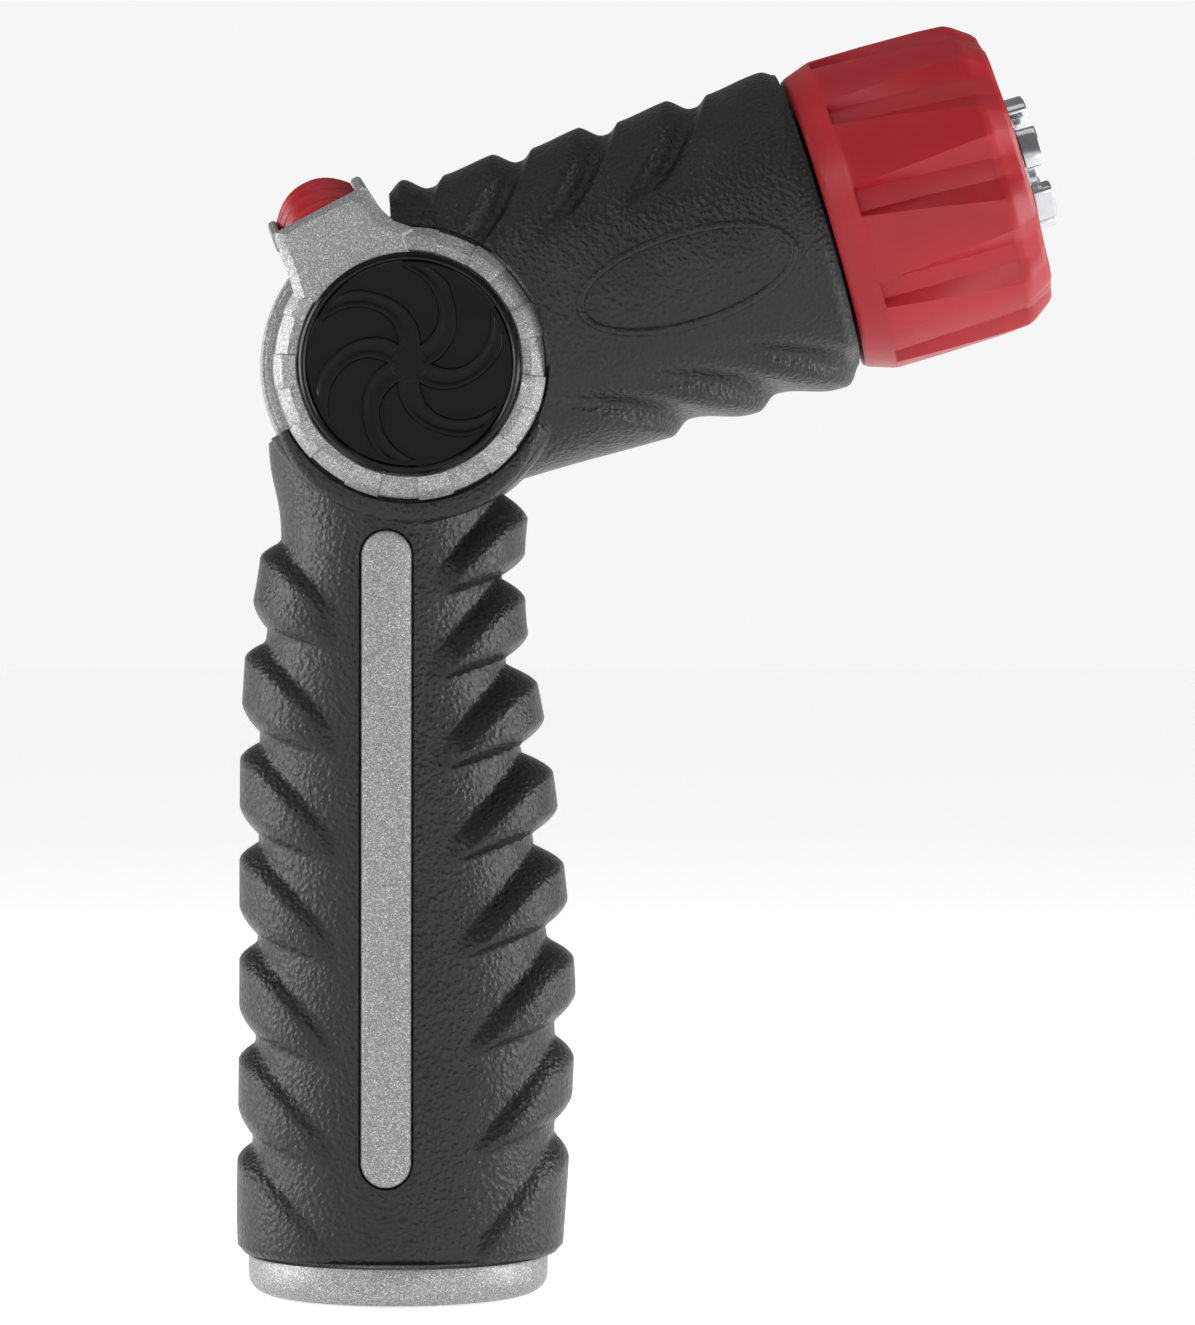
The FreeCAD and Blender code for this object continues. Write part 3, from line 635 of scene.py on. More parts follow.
# %% Barrel outline and grooves
BARREL_FRONT = 57.9
BARREL_HALF_HEIGHT = [(-2, 21.7), (4, 21.7), (10, 21.5), (16, 21.5), (28, 21.8), (40, 21.9), (53, 22.0),
                      (58, 22.0)]
BARREL_HALF_WIDTH = [(-2, 17.3), (8, 17.5), (20, 18.2), (35, 19.7), (50, 20.9), (58, 21.2)]
TOP_GROOVES = [-4.0, 9.6, 22.0, 34.1, 46.5]
LOWER_GROOVES = [34.0, 46.2, 58.6]
REAR_LUMP = 3.7
BARREL_POWER = [(-2, 3.4), (8, 3.2), (26, 2.3), (42, 2.0), (58, 2.0)]


def top_groove(u, up, place, crest):
    """Depth, 0 to 1, of one groove over the barrel's top, at height up above the axis."""
    drop = crest - up
    middle = place - 0.55 * drop - 0.022 * drop ** 2
    q = u - middle
    dent = ease(-3.8, -0.6, q) * (1 - ease(0.0, 3.2, q))
    shelf = 0.42 * ease(-0.8, 1.2, q) * (1 - ease(1.5, 9.5, q))
    return np.maximum(dent, shelf) * ease(7.0, 14.5, up)


def lower_groove(u, up, place, crest):
    """Depth, 0 to 1, of one groove under the barrel: steep above and behind, gentle in front."""
    rise = crest + up
    middle = place - 1.85 * rise
    q = u - middle
    dent = ease(-3.2, -0.2, q) * (1 - ease(0.2, 8.0, q))
    return dent * (1 - ease(3.5, 11.0, rise))


def barrel_rings(rows=150, points=250):
    u = np.linspace(-1.0, BARREL_FRONT, rows)[:, None]
    height, width = blended(BARREL_HALF_HEIGHT, u), blended(BARREL_HALF_WIDTH, u)
    angle = np.linspace(0, 2 * math.pi, points, endpoint=False)[None, :]
    boxy = 2 / blended(BARREL_POWER, u)
    c, s = np.cos(angle), np.sin(angle)
    down, across = height * np.sign(c) * np.abs(c) ** boxy, width * np.sign(s) * np.abs(s) ** boxy
    up = -down
    dent = np.zeros_like(up)
    for place in TOP_GROOVES:
        dent = np.maximum(dent, 2.0 * top_groove(u, up, place, height))
    for place in LOWER_GROOVES:
        dent = np.maximum(dent, 1.7 * lower_groove(u, up, place, height))
    dent = dent + 0.9 * ease(BARREL_FRONT - 2.4, BARREL_FRONT, u) ** 2
    dent = dent + 1.3 * (1 - ease(REAR_LUMP - 0.5, REAR_LUMP + 2.2, u)) * ease(14, 19, up)
    scale = 1 - dent / np.hypot(down, across)
    return on_barrel(np.stack([down * scale, across * scale, u + 0 * up], -1))


barrel = ring_stack("barrel_skin", barrel_rings())
print("barrel rings:", len(barrel.data.vertices), "points")

# %% [markdown]
# ## The oval on the barrel
# A plain raised oval lies on each side of the barrel.  It is one thin half-round bead: its section is carried
# round an ellipse, and every point of it is lifted onto the barrel's side by the same formula as the skin.

# %% Raised oval
OVAL_ALONG, OVAL_DOWN = 38.3, 2.6    # its middle: along the barrel, and down from the barrel's axis
OVAL_LONG, OVAL_HIGH = 14.6, 6.0     # half its length and half its height
BEAD_HALF, BEAD_RISE, BEAD_SINK = 0.62, 0.42, 0.5


def side_of_barrel(u, down):
    """How far the plain barrel stands out sideways at a point of its side view."""
    power = blended(BARREL_POWER, u)
    share = np.clip(np.abs(down) / blended(BARREL_HALF_HEIGHT, u), 0, 1)
    return blended(BARREL_HALF_WIDTH, u) * (1 - share ** power) ** (1 / power)


def oval_bead():
    turn = np.linspace(0, 2 * math.pi, 120, endpoint=False)[:, None]
    section = [(-1, -BEAD_SINK), (-0.8, 0.55 * BEAD_RISE), (-0.4, 0.92 * BEAD_RISE), (0, BEAD_RISE),
               (0.4, 0.92 * BEAD_RISE), (0.8, 0.55 * BEAD_RISE), (1, -BEAD_SINK)]
    side, lift = np.array(section).T
    u = OVAL_ALONG + (OVAL_LONG + BEAD_HALF * side) * np.cos(turn)
    down = OVAL_DOWN + (OVAL_HIGH + BEAD_HALF * side) * np.sin(turn)
    across = side_of_barrel(u, down) + lift
    return ring_stack("oval_bead", on_barrel(np.stack([down, across, u], -1)), closed=True)


far_bead = oval_bead()
near_bead = mirrored(far_bead, "near_bead")
print("each oval is", 2 * OVAL_LONG, "by", 2 * OVAL_HIGH, "mm")

# %% [markdown]
# ## The rubber grip: joining and coring
# The handle, the barrel and a flat collar round the hub are moulded in one shot, so they are joined.  Then
# the places where other parts sit are cut: the open sector behind the hub, the two round pockets for the
# lever's cheeks, the slots for the strips, and the core that the valve body fills.

# %% Join the skin and cut its pockets
RING_R = HUB[2] - node_edge("lever_right", 2, 0)
POCKET_R = RING_R + 0.4
WEB_IN = 14.7
COLLAR_R, COLLAR_HALF = 21.0, 15.4
SECTOR_LOW, SECTOR_HIGH, SECTOR_REACH = 97.5, 208, 60
DRUM_CORE_R, DRUM_CORE_HALF = 20.45, 14.65
BARREL_CORE_R, HANDLE_CORE_R, HANDLE_CORE_TOP_R = 16.85, 17.9, 12.35
SLOT_GAP, SLOT_DEEP = 0.28, 1.6
SIDE_CLEAR, POCKET_CLEAR = 30, 40    # how far out the cutting tools reach, well past the rubber
STRIP_LOW, STRIP_HIGH = node_edge("trim_strip_right", 2, 0), node_edge("trim_strip_right", 2, 1)
STRIP_MIDDLE = (node_edge("trim_strip_right", 0, 0) + node_edge("trim_strip_right", 0, 1)) / 2
STRIP_HALF = (node_edge("trim_strip_right", 0, 1) - node_edge("trim_strip_right", 0, 0)) / 2


def side_surface(x, z):
    """How far the plain handle stands out sideways at a point of its side view."""
    middle, depth, width = handle_size(z)
    share = np.clip(np.abs((x - middle) / depth), 0, 1)
    return width * (1 - share ** OVAL_POWER) ** (1 / OVAL_POWER)


def slot_loop(inset, points=36):
    """A stadium outline as (x, z), inset from the strip's edge."""
    r = STRIP_HALF - inset
    turn = np.linspace(0, math.pi, points)
    top = np.stack([STRIP_MIDDLE + r * np.cos(turn), STRIP_HIGH - STRIP_HALF + r * np.sin(turn)], -1)
    low = np.stack([STRIP_MIDDLE - r * np.cos(turn), STRIP_LOW + STRIP_HALF - r * np.sin(turn)], -1)
    sides = np.linspace(0, 1, 60)[1:-1, None]
    front = top[-1] * (1 - sides) + low[0] * sides
    back = low[-1] * (1 - sides) + top[0] * sides
    return np.vstack([top, front, low, back])


def side_loop(inset, sink):
    """A stadium loop laid on the near side, sunk below the plain handle's surface."""
    loop = slot_loop(inset)
    return np.stack([loop[:, 0], -(side_surface(loop[:, 0], loop[:, 1]) - sink), loop[:, 1]], -1)


def slot_tool():
    outer = side_loop(-SLOT_GAP, 0)
    outer[:, 1] = -SIDE_CLEAR
    return ring_stack("slot", np.array([outer, side_loop(-SLOT_GAP, SLOT_DEEP)]))


def open_sector():
    """The sector behind the hub where the silver drum shows and the thumb block swings."""
    turn = np.radians(np.linspace(SECTOR_LOW, SECTOR_HIGH, 9))
    outline = [(0, 0)] + [(SECTOR_REACH * math.cos(a), SECTOR_REACH * math.sin(a)) for a in turn]
    return block("sector", outline, -SIDE_CLEAR, SIDE_CLEAR)


def core(name, low, low_radius, high, high_radius, place, points=160):
    """A round cutting tool, straight or tapered, between two places on its axis."""
    outline = [(low, 0.01), (low, low_radius), (high, high_radius), (high, 0.01)]
    return lathe(name, outline, place, points)


def lip():
    """A rounded roll in the rubber under the lever's ring, which dies away up both sides of the hub."""
    low, high = math.radians(200), math.radians(338)
    sections = []
    for angle in np.linspace(low, high, 60):
        share = (angle - low) / (high - low)
        swell = math.sin(math.pi * share) ** 0.6
        reach, radius = 15.2 + 2.3 * swell, 19.2 + 1.9 * swell
        outline = rounded([(-reach, 16.0), (-reach, radius), (reach, radius), (reach, 16.0)], 1.3)
        sections.append([(r * math.cos(angle), r * math.sin(angle), along) for along, r in outline])
    return ring_stack("lip", across_hub(np.array(sections)))


collar = lathe("collar", rounded([(-COLLAR_HALF, 0.01), (-COLLAR_HALF, COLLAR_R), (COLLAR_HALF, COLLAR_R),
                                  (COLLAR_HALF, 0.01)], 2.6), across_hub, 180)
combine(handle, [barrel, collar, lip(), near_bead, far_bead], "UNION")
near_slot = slot_tool()
far_slot = mirrored(near_slot, "far_slot")
tools = [open_sector(), near_slot, far_slot]
for low, high in ((-POCKET_CLEAR, -WEB_IN), (WEB_IN, POCKET_CLEAR)):
    tools.append(core("pocket", low, POCKET_R, high, POCKET_R, across_hub, 180))
tools.append(core("drum_core", -DRUM_CORE_HALF, DRUM_CORE_R, DRUM_CORE_HALF, DRUM_CORE_R, across_hub))
tools.append(core("barrel_core", 4, BARREL_CORE_R, 62, BARREL_CORE_R, on_barrel))
tools.append(core("handle_core", 0, HANDLE_CORE_R, 112, HANDLE_CORE_TOP_R, upright))
combine(handle, tools)
shade(handle, math.radians(55))
place_piece(handle, "nozzle_body", "black_grip", "grip_overmould")

# %% [markdown]
# ## The silver strips
# A strip is a thin plate let into each side of the handle.  Nested stadium loops make it: the outer ones roll
# over its edge and the inner ones follow the handle's curve, so it looks pressed into the rubber.

# %% Strips
def strip():
    loops = [side_loop(0.02, 1.5), side_loop(0.0, 0.45), side_loop(0.08, 0.22), side_loop(0.3, 0.08)]
    loops += [side_loop(inset, 0.05) for inset in np.linspace(0.6, STRIP_HALF - 0.03, 7)]
    return shade(ring_stack("strip_right", np.array(loops)))


near_strip = strip()
far_strip = mirrored(near_strip, "strip_left")
place_piece(near_strip, "nozzle_body", "silver_paint", "trim_strip_right")
place_piece(far_strip, "nozzle_body", "silver_paint", "trim_strip_left")

# %% [markdown]
# ## The inlet: collar and hose thread
# The collar is a turned ring with a well rounded foot, and a shallow step where it meets the rubber.
# Inside it the insert carries the hose thread.  A thread is one ridge that winds round a bore: a spiral
# curve swept with a small six-sided section, which is a natural job for Geometry Nodes.

# %% Collar, insert and thread
COLLAR_HIGH = node_edge("inlet_collar", 2, 1)
FOOT_R = node_edge("inlet_collar", 0, 1)
FOOT_ROUND = 2.6
THREAD_R, THREAD_PITCH, INSERT_R = 13.6, 25.4 / 11.5, 15.2
THREAD_TURNS, THREAD_FIRST = 5.5, 1.6


def thread_tree():
    tree = bpy.data.node_groups.new("wind_thread", "GeometryNodeTree")
    face = tree.interface
    face.new_socket("Geometry", in_out="INPUT", socket_type="NodeSocketGeometry")
    for name in ("Turns", "Radius", "Height", "Ridge"):
        face.new_socket(name, in_out="INPUT", socket_type="NodeSocketFloat")
    face.new_socket("Material", in_out="INPUT", socket_type="NodeSocketMaterial")
    face.new_socket("Geometry", in_out="OUTPUT", socket_type="NodeSocketGeometry")
    make, link = tree.nodes.new, tree.links.new
    given, result = make("NodeGroupInput"), make("NodeGroupOutput")
    spiral = make("GeometryNodeCurveSpiral")
    spiral.inputs["Resolution"].default_value = 72
    link(given.outputs["Turns"], spiral.inputs["Rotations"])
    link(given.outputs["Radius"], spiral.inputs["Start Radius"])
    link(given.outputs["Radius"], spiral.inputs["End Radius"])
    link(given.outputs["Height"], spiral.inputs["Height"])
    ridge = make("GeometryNodeCurvePrimitiveCircle")
    ridge.inputs["Resolution"].default_value = 6
    link(given.outputs["Ridge"], ridge.inputs["Radius"])
    sweep = make("GeometryNodeCurveToMesh")
    sweep.inputs["Fill Caps"].default_value = True
    link(spiral.outputs[0], sweep.inputs["Curve"])
    link(ridge.outputs[0], sweep.inputs["Profile Curve"])
    real = make("GeometryNodeRealizeInstances")
    link(sweep.outputs[0], real.inputs["Geometry"])
    paint = make("GeometryNodeSetMaterial")
    link(real.outputs[0], paint.inputs["Geometry"])
    link(given.outputs["Material"], paint.inputs["Material"])
    link(paint.outputs[0], result.inputs[0])
    return tree


def hose_thread():
    seed = new_object("thread", [(0, 0, 0), (1, 0, 0), (0, 1, 0)], [(0, 1, 2)])
    run_tree(seed, thread_tree(), Turns=THREAD_TURNS, Radius=(THREAD_R - 0.05) * MM,
             Height=THREAD_TURNS * THREAD_PITCH * MM, Ridge=0.85 * MM, Material=FINISHES["brass"])
    for vertex in seed.data.vertices:
        vertex.co.z += THREAD_FIRST * MM
    return seed


collar_outline = rounded([(COLLAR_HIGH - 0.03, INSERT_R), (0.7, INSERT_R), (0.0, INSERT_R + 0.7),
                          (0.0, FOOT_R - FOOT_ROUND)], 0.5)
collar_outline += [(FOOT_ROUND * (1 - math.cos(a)), FOOT_R - FOOT_ROUND * (1 - math.sin(a)))
                   for a in np.linspace(0.1, 1.57, 9)]
collar_outline += [(COLLAR_HIGH - 0.9, FOOT_R), (COLLAR_HIGH - 0.55, FOOT_R - 0.15),
                   (COLLAR_HIGH - 0.4, FOOT_R - 0.5), (COLLAR_HIGH - 0.4, FOOT_R - 1.2),
                   (COLLAR_HIGH - 0.03, FOOT_R - 1.4)]
foot = shade(lathe("foot_collar", collar_outline, upright, 200))
place_piece(foot, "nozzle_body", "silver_paint", "inlet_collar")

insert_outline = [(0.4, THREAD_R + 0.4), (0.0, THREAD_R + 0.8), (0.0, INSERT_R - 0.1), (24.0, INSERT_R - 0.1),
                  (24.0, 9.0), (18.7, 9.0), (18.6, 9.1), (18.6, THREAD_R + 0.3), (15.1, THREAD_R + 0.3),
                  (15.1, THREAD_R), (0.8, THREAD_R)]
insert = gather("hose_insert", [lathe("insert", insert_outline, upright, 160), hose_thread()])
place_piece(shade(insert), "nozzle_body", "brass", "inlet_insert")

# %% [markdown]
# ## The silver drum
# The valve body's drum shows behind the hub as a smooth barrel-shaped band.  Its crown is very slight, so a
# turned shape with a few rings across carries the highlight without any flats.  Each rim has a small bevel.

# %% Drum band
DRUM_R, DRUM_EDGE_R, DRUM_HALF = 20.4, 19.6, 14.6
BACK_OF_BAND = 3.0
SKIN = 0.06                          # the painted band stands this far off the casting


def drum_band():
    half = DRUM_HALF + SKIN
    across = np.linspace(-half + 0.5, half - 0.5, 23)
    crown = SKIN + DRUM_EDGE_R + (DRUM_R - DRUM_EDGE_R) * (1 - (across / half) ** 2)
    outline = [(-half, DRUM_EDGE_R - BACK_OF_BAND), (-half, DRUM_EDGE_R - 0.5)]
    outline += list(zip(across, crown))
    outline += [(half, DRUM_EDGE_R - 0.5), (half, DRUM_EDGE_R - BACK_OF_BAND)]
    return lathe("drum_band", outline, across_hub, 220)


place_piece(shade(drum_band()), "nozzle_body", "silver_paint")

# %% [markdown]
# ## The thumb lever
# Each half of the lever is a cheek with a raised ring, and an arm that grows out of the ring into half of
# the thumb block.  The ring has a tread: every second block stands a little higher, and its outer edge is
# cut away in a ledge.  The arm's side face is framed by bevels, which are long sloping facets that catch
# the light.

# %% Lever frame and cheek
LEVER_ANGLE = 117.9
CHEEK_FACE = -node_edge("lever_right", 1, 0)
RING_IN = 14.7
RING_FACE = CHEEK_FACE - 0.62
SIDE_TOP = 23.6                      # the side wall's top edge, out from the hub
SADDLE_TOP = 26.2                    # the end walls' top at the mid plane
PAD_HALF = 17.0
TREAD_COUNT, TREAD_BLOCKS = 22, 10   # places round the full ring, and raised blocks on them
lean = math.radians(LEVER_ANGLE)


def in_lever(points):
    """Turns (along the block, across, out from the hub) into the model's millimetres."""
    points = np.asarray(points, float)
    x, y, z = points[..., 0], points[..., 1], points[..., 2]
    forward = x * math.sin(lean) + z * math.cos(lean)
    up = z * math.sin(lean) - x * math.cos(lean)
    return on_hub(np.stack([forward, y, up], -1))


def cheek():
    outline = [(14.95, 3.6), (14.95, RING_R - 0.3), (15.2, RING_R - 0.05), (RING_FACE - 1.5, RING_R - 0.3),
               (RING_FACE - 0.3, RING_R - 1.6), (RING_FACE, RING_R - 1.95), (RING_FACE, RING_IN + 0.25),
               (RING_FACE - 0.2, RING_IN), (17.1, RING_IN), (17.1, 3.6)]
    return lathe("cheek", outline, across_hub, 220)


def tread_block():
    """One raised block of the tread, a fifteen degree piece of ring with soft edges and an outer ledge."""
    half = math.radians(180 / TREAD_COUNT) * 0.94
    top = CHEEK_FACE - 0.06
    outline = [(RING_FACE - 0.6, RING_IN + 0.1), (top - 0.12, RING_IN + 0.1), (top, RING_IN + 0.35),
               (top - 0.3, RING_R - 1.2), (top - 0.6, RING_R - 1.0), (RING_FACE - 1.2, RING_R),
               (RING_FACE - 1.7, RING_R), (RING_FACE - 1.7, RING_R - 1.0)]
    rings = []
    for angle in np.linspace(-half, half, 5) + lean + 4 * math.pi / TREAD_COUNT:
        rings.append([(r * math.cos(angle), r * math.sin(angle), along) for along, r in outline])
    return soften(ring_stack("tread_block", across_hub(np.array(rings))), 0.2, 2)


def side_loop_of_block(inset, out):
    """The thumb block's side view, drawn in by inset along its top and ends, at |y| = out."""
    top = SIDE_TOP - 0.75 * inset
    back = [(-9.4, 14.2), (-8.9, 16.6), (-8.5, 19.0), (-8.25, top - 0.8), (-7.7, top)]
    front = [(4.9, top), (5.7, top - 0.8), (6.3, 19.6), (7.0, 17.6), (8.9, 15.6)]
    loop = [(x + inset, z) for x, z in back] + [(x - 1.45 * inset, z) for x, z in front]
    return [(x, -out, z) for x, z in loop + [(6.5, 12.0), (-6.5, 12.0)]]


def side_plate():
    """The outer wall of the thumb block: a flat face framed by sloping bevels."""
    steps = [(0, 14.95), (0, CHEEK_FACE - 1.2), (0.12, CHEEK_FACE - 1.0), (1.3, CHEEK_FACE - 0.02),
             (1.45, CHEEK_FACE)]
    plate = ring_stack("side_plate", in_lever(np.array([side_loop_of_block(*step) for step in steps])))
    hole = lathe("hole", [(10, 0.01), (10, RING_IN), (40, RING_IN), (40, 0.01)], across_hub, 220)
    return combine(plate, [hole])


def bridge():
    """Half of the saddle over the drum, from the mid plane out to the side wall, with a tray for the pad."""
    sections = []
    for y in np.linspace(0, CHEEK_FACE - 1.0, 20):
        share = y / (CHEEK_FACE - 1.0)
        crest = SADDLE_TOP - (SADDLE_TOP - SIDE_TOP + 0.1) * share ** 2.2
        tray = min(crest, 21.6) if y < PAD_HALF + 0.2 else crest
        outline = [(-8.2, 20.95), (-8.5, 21.3), (-8.3, crest - 0.4), (-8.0, crest), (-7.35, crest),
                   (-7.1, crest - 0.3), (-7.1, tray - 0.3), (4.3, tray - 0.3), (4.3, crest - 0.3),
                   (4.55, crest), (5.4, crest), (5.75, crest - 0.4), (6.1, 21.3), (5.9, 20.95)]
        sections.append([(x, -y, z) for x, z in outline])
    return ring_stack("bridge", in_lever(np.array(sections)))


def half_lever(name):
    body = combine(cheek(), [side_plate(), bridge()], "UNION")
    step = 2 * 360 / TREAD_COUNT
    blocks = repeat_round(tread_block(), TREAD_BLOCKS, HUB, (0, -1, 0), "silver_paint", step)
    return gather(name, [body, blocks])


near_lever = half_lever("lever_half_right")
shade(near_lever, math.radians(28))
far_lever = shade(mirrored(near_lever, "lever_half_left"), math.radians(28))
place_piece(near_lever, "thumb_lever", "silver_paint", "lever_right")
place_piece(far_lever, "thumb_lever", "silver_paint", "lever_left")

# %% [markdown]
# ## The thumb pad
# The red pad is a cushion, curved both ways, that steps down towards each end of its width in soft ridges
# for the thumb.  It is a grid over its plan: a formula gives the height, and the ridges are a sawtooth
# whose points are rounded.

# %% Thumb pad
PAD_BACK, PAD_FRONT = -7.0, 4.2
PAD_PEAK, PAD_FALL = 28.7, 5.3
RIDGES = 5


def pad_height(x, y):
    share = np.abs(y) / PAD_HALF
    middle = (PAD_BACK + PAD_FRONT) / 2
    along = (x - middle) / ((PAD_FRONT - PAD_BACK) / 2)
    dome = PAD_PEAK - PAD_FALL * share ** 2
    phase = share * RIDGES
    tooth = phase - np.floor(phase)
    steps = 0.75 * (ease(0.0, 0.7, tooth) - ease(0.7, 1.0, tooth)) * ease(0.12, 0.3, share)
    return dome + steps - 0.35 - 2.9 * np.abs(along) ** 2.3


def thumb_cushion():
    loops = []
    for y in np.linspace(-PAD_HALF, PAD_HALF, 130):
        x = np.linspace(PAD_BACK, PAD_FRONT, 30)
        end = 1 - 0.25 * ease(0.96, 1.0, abs(y) / PAD_HALF)
        crest = 20.9 + (pad_height(x, np.full_like(x, y)) - 20.9) * end
        loop = [(PAD_BACK, y, 20.8)] + list(zip(x, np.full_like(x, y), crest)) + [(PAD_FRONT, y, 20.8)]
        loops.append(loop)
    return ring_stack("cushion", in_lever(np.array(loops)))


cushion = shade(thumb_cushion(), math.radians(50))
place_piece(cushion, "thumb_lever", "red_pad", "thumb_pad")

# %% [markdown]
# ## The hub cap
# The cap is a shallow cup with a thin rounded rim.  Six blades curl out from its middle like a pinwheel:
# each is a crescent whose outer edge is a long arc and whose inner edge is hollow, so that it ends in a
# point at the rim.  One blade is drawn once and repeated by the ring tree.

# %% Cap with its pinwheel
CAP_RIM = -node_edge("hub_cap_right", 1, 0)
CAP_FACE = CAP_RIM - 1.05
CAP_R = RING_IN - 0.12
BLADES, BLADE_IN, BLADE_OUT = 6, 1.8, 12.8
OUTER_EDGE = [(1.8, -14), (2.3, -8), (3.3, 2), (5.4, 20), (7.7, 37), (10.1, 54), (11.7, 63.5), (12.5, 70),
              (12.8, 78)]
INNER_EDGE = [(1.8, 76), (2.3, 66), (3.4, 56), (4.6, 53), (5.8, 53.5), (7.5, 59), (9.3, 68), (11.1, 79.5),
              (12.0, 87), (12.8, 95)]


def blade(slices=48):
    """Sections at growing radius from the middle to the rim, each a low mound with two crisp shoulders."""
    sections = []
    for radius in np.linspace(BLADE_IN, BLADE_OUT, slices):
        first = float(blended(OUTER_EDGE, np.array(radius), 0.35))
        last = float(blended(INNER_EDGE, np.array(radius), 0.35))
        share = np.array([0, 0, 0.05, 0.12, 0.3, 0.5, 0.7, 0.88, 0.95, 1, 1])
        level = np.array([-0.4, 0.68, 0.92, 0.95, 0.86, 0.82, 0.86, 0.95, 0.92, 0.68, -0.4]) + CAP_FACE
        angle = np.radians(first + (last - first) * share)
        sections.append(np.column_stack([radius * np.cos(angle), radius * np.sin(angle), level]))
    return ring_stack("blade", across_hub(np.array(sections)))


def cap(name):
    outline = [(CAP_FACE - 0.8, 0.01), (CAP_FACE, 0.01), (CAP_FACE, CAP_R - 1.15),
               (CAP_FACE + 0.1, CAP_R - 1.0),
               (CAP_RIM - 0.22, CAP_R - 0.85), (CAP_RIM, CAP_R - 0.6), (CAP_RIM - 0.04, CAP_R - 0.3),
               (CAP_RIM - 0.4, CAP_R), (17.3, CAP_R), (17.3, CAP_R - 1.1), (CAP_FACE - 0.8, CAP_R - 1.1)]
    cup = lathe("cup", outline, across_hub, 200)
    middle = [(CAP_FACE - 0.4, 0.01), (CAP_FACE + 0.9, 0.01), (CAP_FACE + 0.9, 2.3), (CAP_FACE + 0.7, 2.6),
              (CAP_FACE - 0.4, 2.7)]
    boss = lathe("boss", middle, across_hub, 60)
    blades = repeat_round(blade(), BLADES, HUB, (0, -1, 0), "black_cap")
    return gather(name, [cup, boss, blades])


near_cap = shade(cap("cap_right"))
far_cap = shade(mirrored(near_cap, "cap_left"))
place_piece(near_cap, "thumb_lever", "black_cap", "hub_cap_right")
place_piece(far_cap, "thumb_lever", "black_cap", "hub_cap_left")

# %% [markdown]
# ## The twist bell
# The bell is a stack of circles with ten flutes pressed into it.  A flute starts with a square step just in
# front of the rear band.  Its long edges spread towards the mouth, the lower one more than the upper one, and
# its two long walls widen into sloping facets.  The formula works out how deep each point of each circle is
# pressed in.

# %% Bell with ten flutes
BELL_BACK, BELL_MOUTH, BELL_R = 58.5, 85.3, 21.3
SLOPE_START = 80.5                   # just behind the slope that leads in to the mouth
BELL_PROFILE = [(58.5, 19.75), (58.8, 20.15), (61.9, 21.2), (62.5, 21.42), (63.2, 21.48), (70.0, 21.45),
                (78.0, 21.25), (81.4, 21.0), (82.3, 20.6), (84.9, 18.75), (85.3, 18.1)]
FLUTES, FLUTE_FIRST = 10, math.radians(2)
FLUTE_STEP = 62.6
FLUTE_TOP = [(62.5, 1.95), (72.0, 2.7), (84.0, 3.8), (85.5, 3.9)]
FLUTE_FOOT = [(62.5, -2.1), (72.0, -3.6), (84.0, -5.9), (85.5, -6.2)]
UPPER_WALL = [(62.5, 0.45), (72.0, 1.6), (84.0, 3.3)]
LOWER_WALL = [(62.5, 0.6), (84.0, 3.2)]
FLUTE_DEPTH = [(62.5, 1.25), (72.0, 1.45), (81.0, 1.75), (85.4, 0.75)]
INSIDE = [(85.15, 16.6), (84.9, 16.1), (84.4, 16.5), (60.0, 16.5), (60.0, 14.7), (BELL_BACK, 14.7)]
PARTS = (6, 7, 7, 6)                 # points over the lower wall, the floor, the upper wall and the ridge


def table_at(table, u):
    """Straight-line reading of a table of (place, size)."""
    return np.interp(u, *zip(*table))


def bell_grid(rows=90):
    """Points whose rows follow the flute's own edges, so that every edge is a clean line."""
    u = np.linspace(BELL_BACK, BELL_MOUTH, rows)
    at_step = np.linspace(FLUTE_STEP - 0.3, FLUTE_STEP + 0.3, 9)
    at_slope = np.linspace(SLOPE_START, BELL_MOUTH, 30)
    u = np.unique(np.concatenate([u, at_step, at_slope]))[:, None]
    radius = blended(BELL_PROFILE, u, 0.3)
    top, foot = table_at(FLUTE_TOP, u), table_at(FLUTE_FOOT, u)
    pitch = 2 * math.pi * BELL_R / FLUTES
    knots = [foot, foot + table_at(LOWER_WALL, u), top - table_at(UPPER_WALL, u), top, foot + pitch]
    levels = [0, 1, 1, 0, 0]
    arc, level = [], []
    for i, count in enumerate(PARTS):
        for t in np.arange(count) / count:
            arc.append(knots[i] + (knots[i + 1] - knots[i]) * t)
            level.append(levels[i] + (levels[i + 1] - levels[i]) * t)
    arc, level = np.hstack(arc), np.array(level)[None, :]
    dent = level * table_at(FLUTE_DEPTH, u) * ease(FLUTE_STEP - 0.16, FLUTE_STEP + 0.16, u)
    turns = [arc / BELL_R + FLUTE_FIRST + k * 2 * math.pi / FLUTES for k in range(FLUTES)]
    return u, np.hstack(turns), np.tile(radius - dent, FLUTES)


def bell():
    u, angle, r = bell_grid()
    rings = on_barrel(np.stack([-np.sin(angle) * r, -np.cos(angle) * r, u + 0 * r], -1))
    mouth = []
    spin = angle[-1]
    for u_in, r_in in INSIDE:
        circle = np.stack([-np.sin(spin) * r_in, -np.cos(spin) * r_in, np.full_like(spin, u_in)], -1)
        mouth.append(on_barrel(circle))
    return ring_stack("bell", np.concatenate([rings, np.array(mouth)]), closed=True)


bell_piece = shade(bell(), math.radians(30))
place_piece(bell_piece, "spray_bell", "red_bell", "bell_cover")

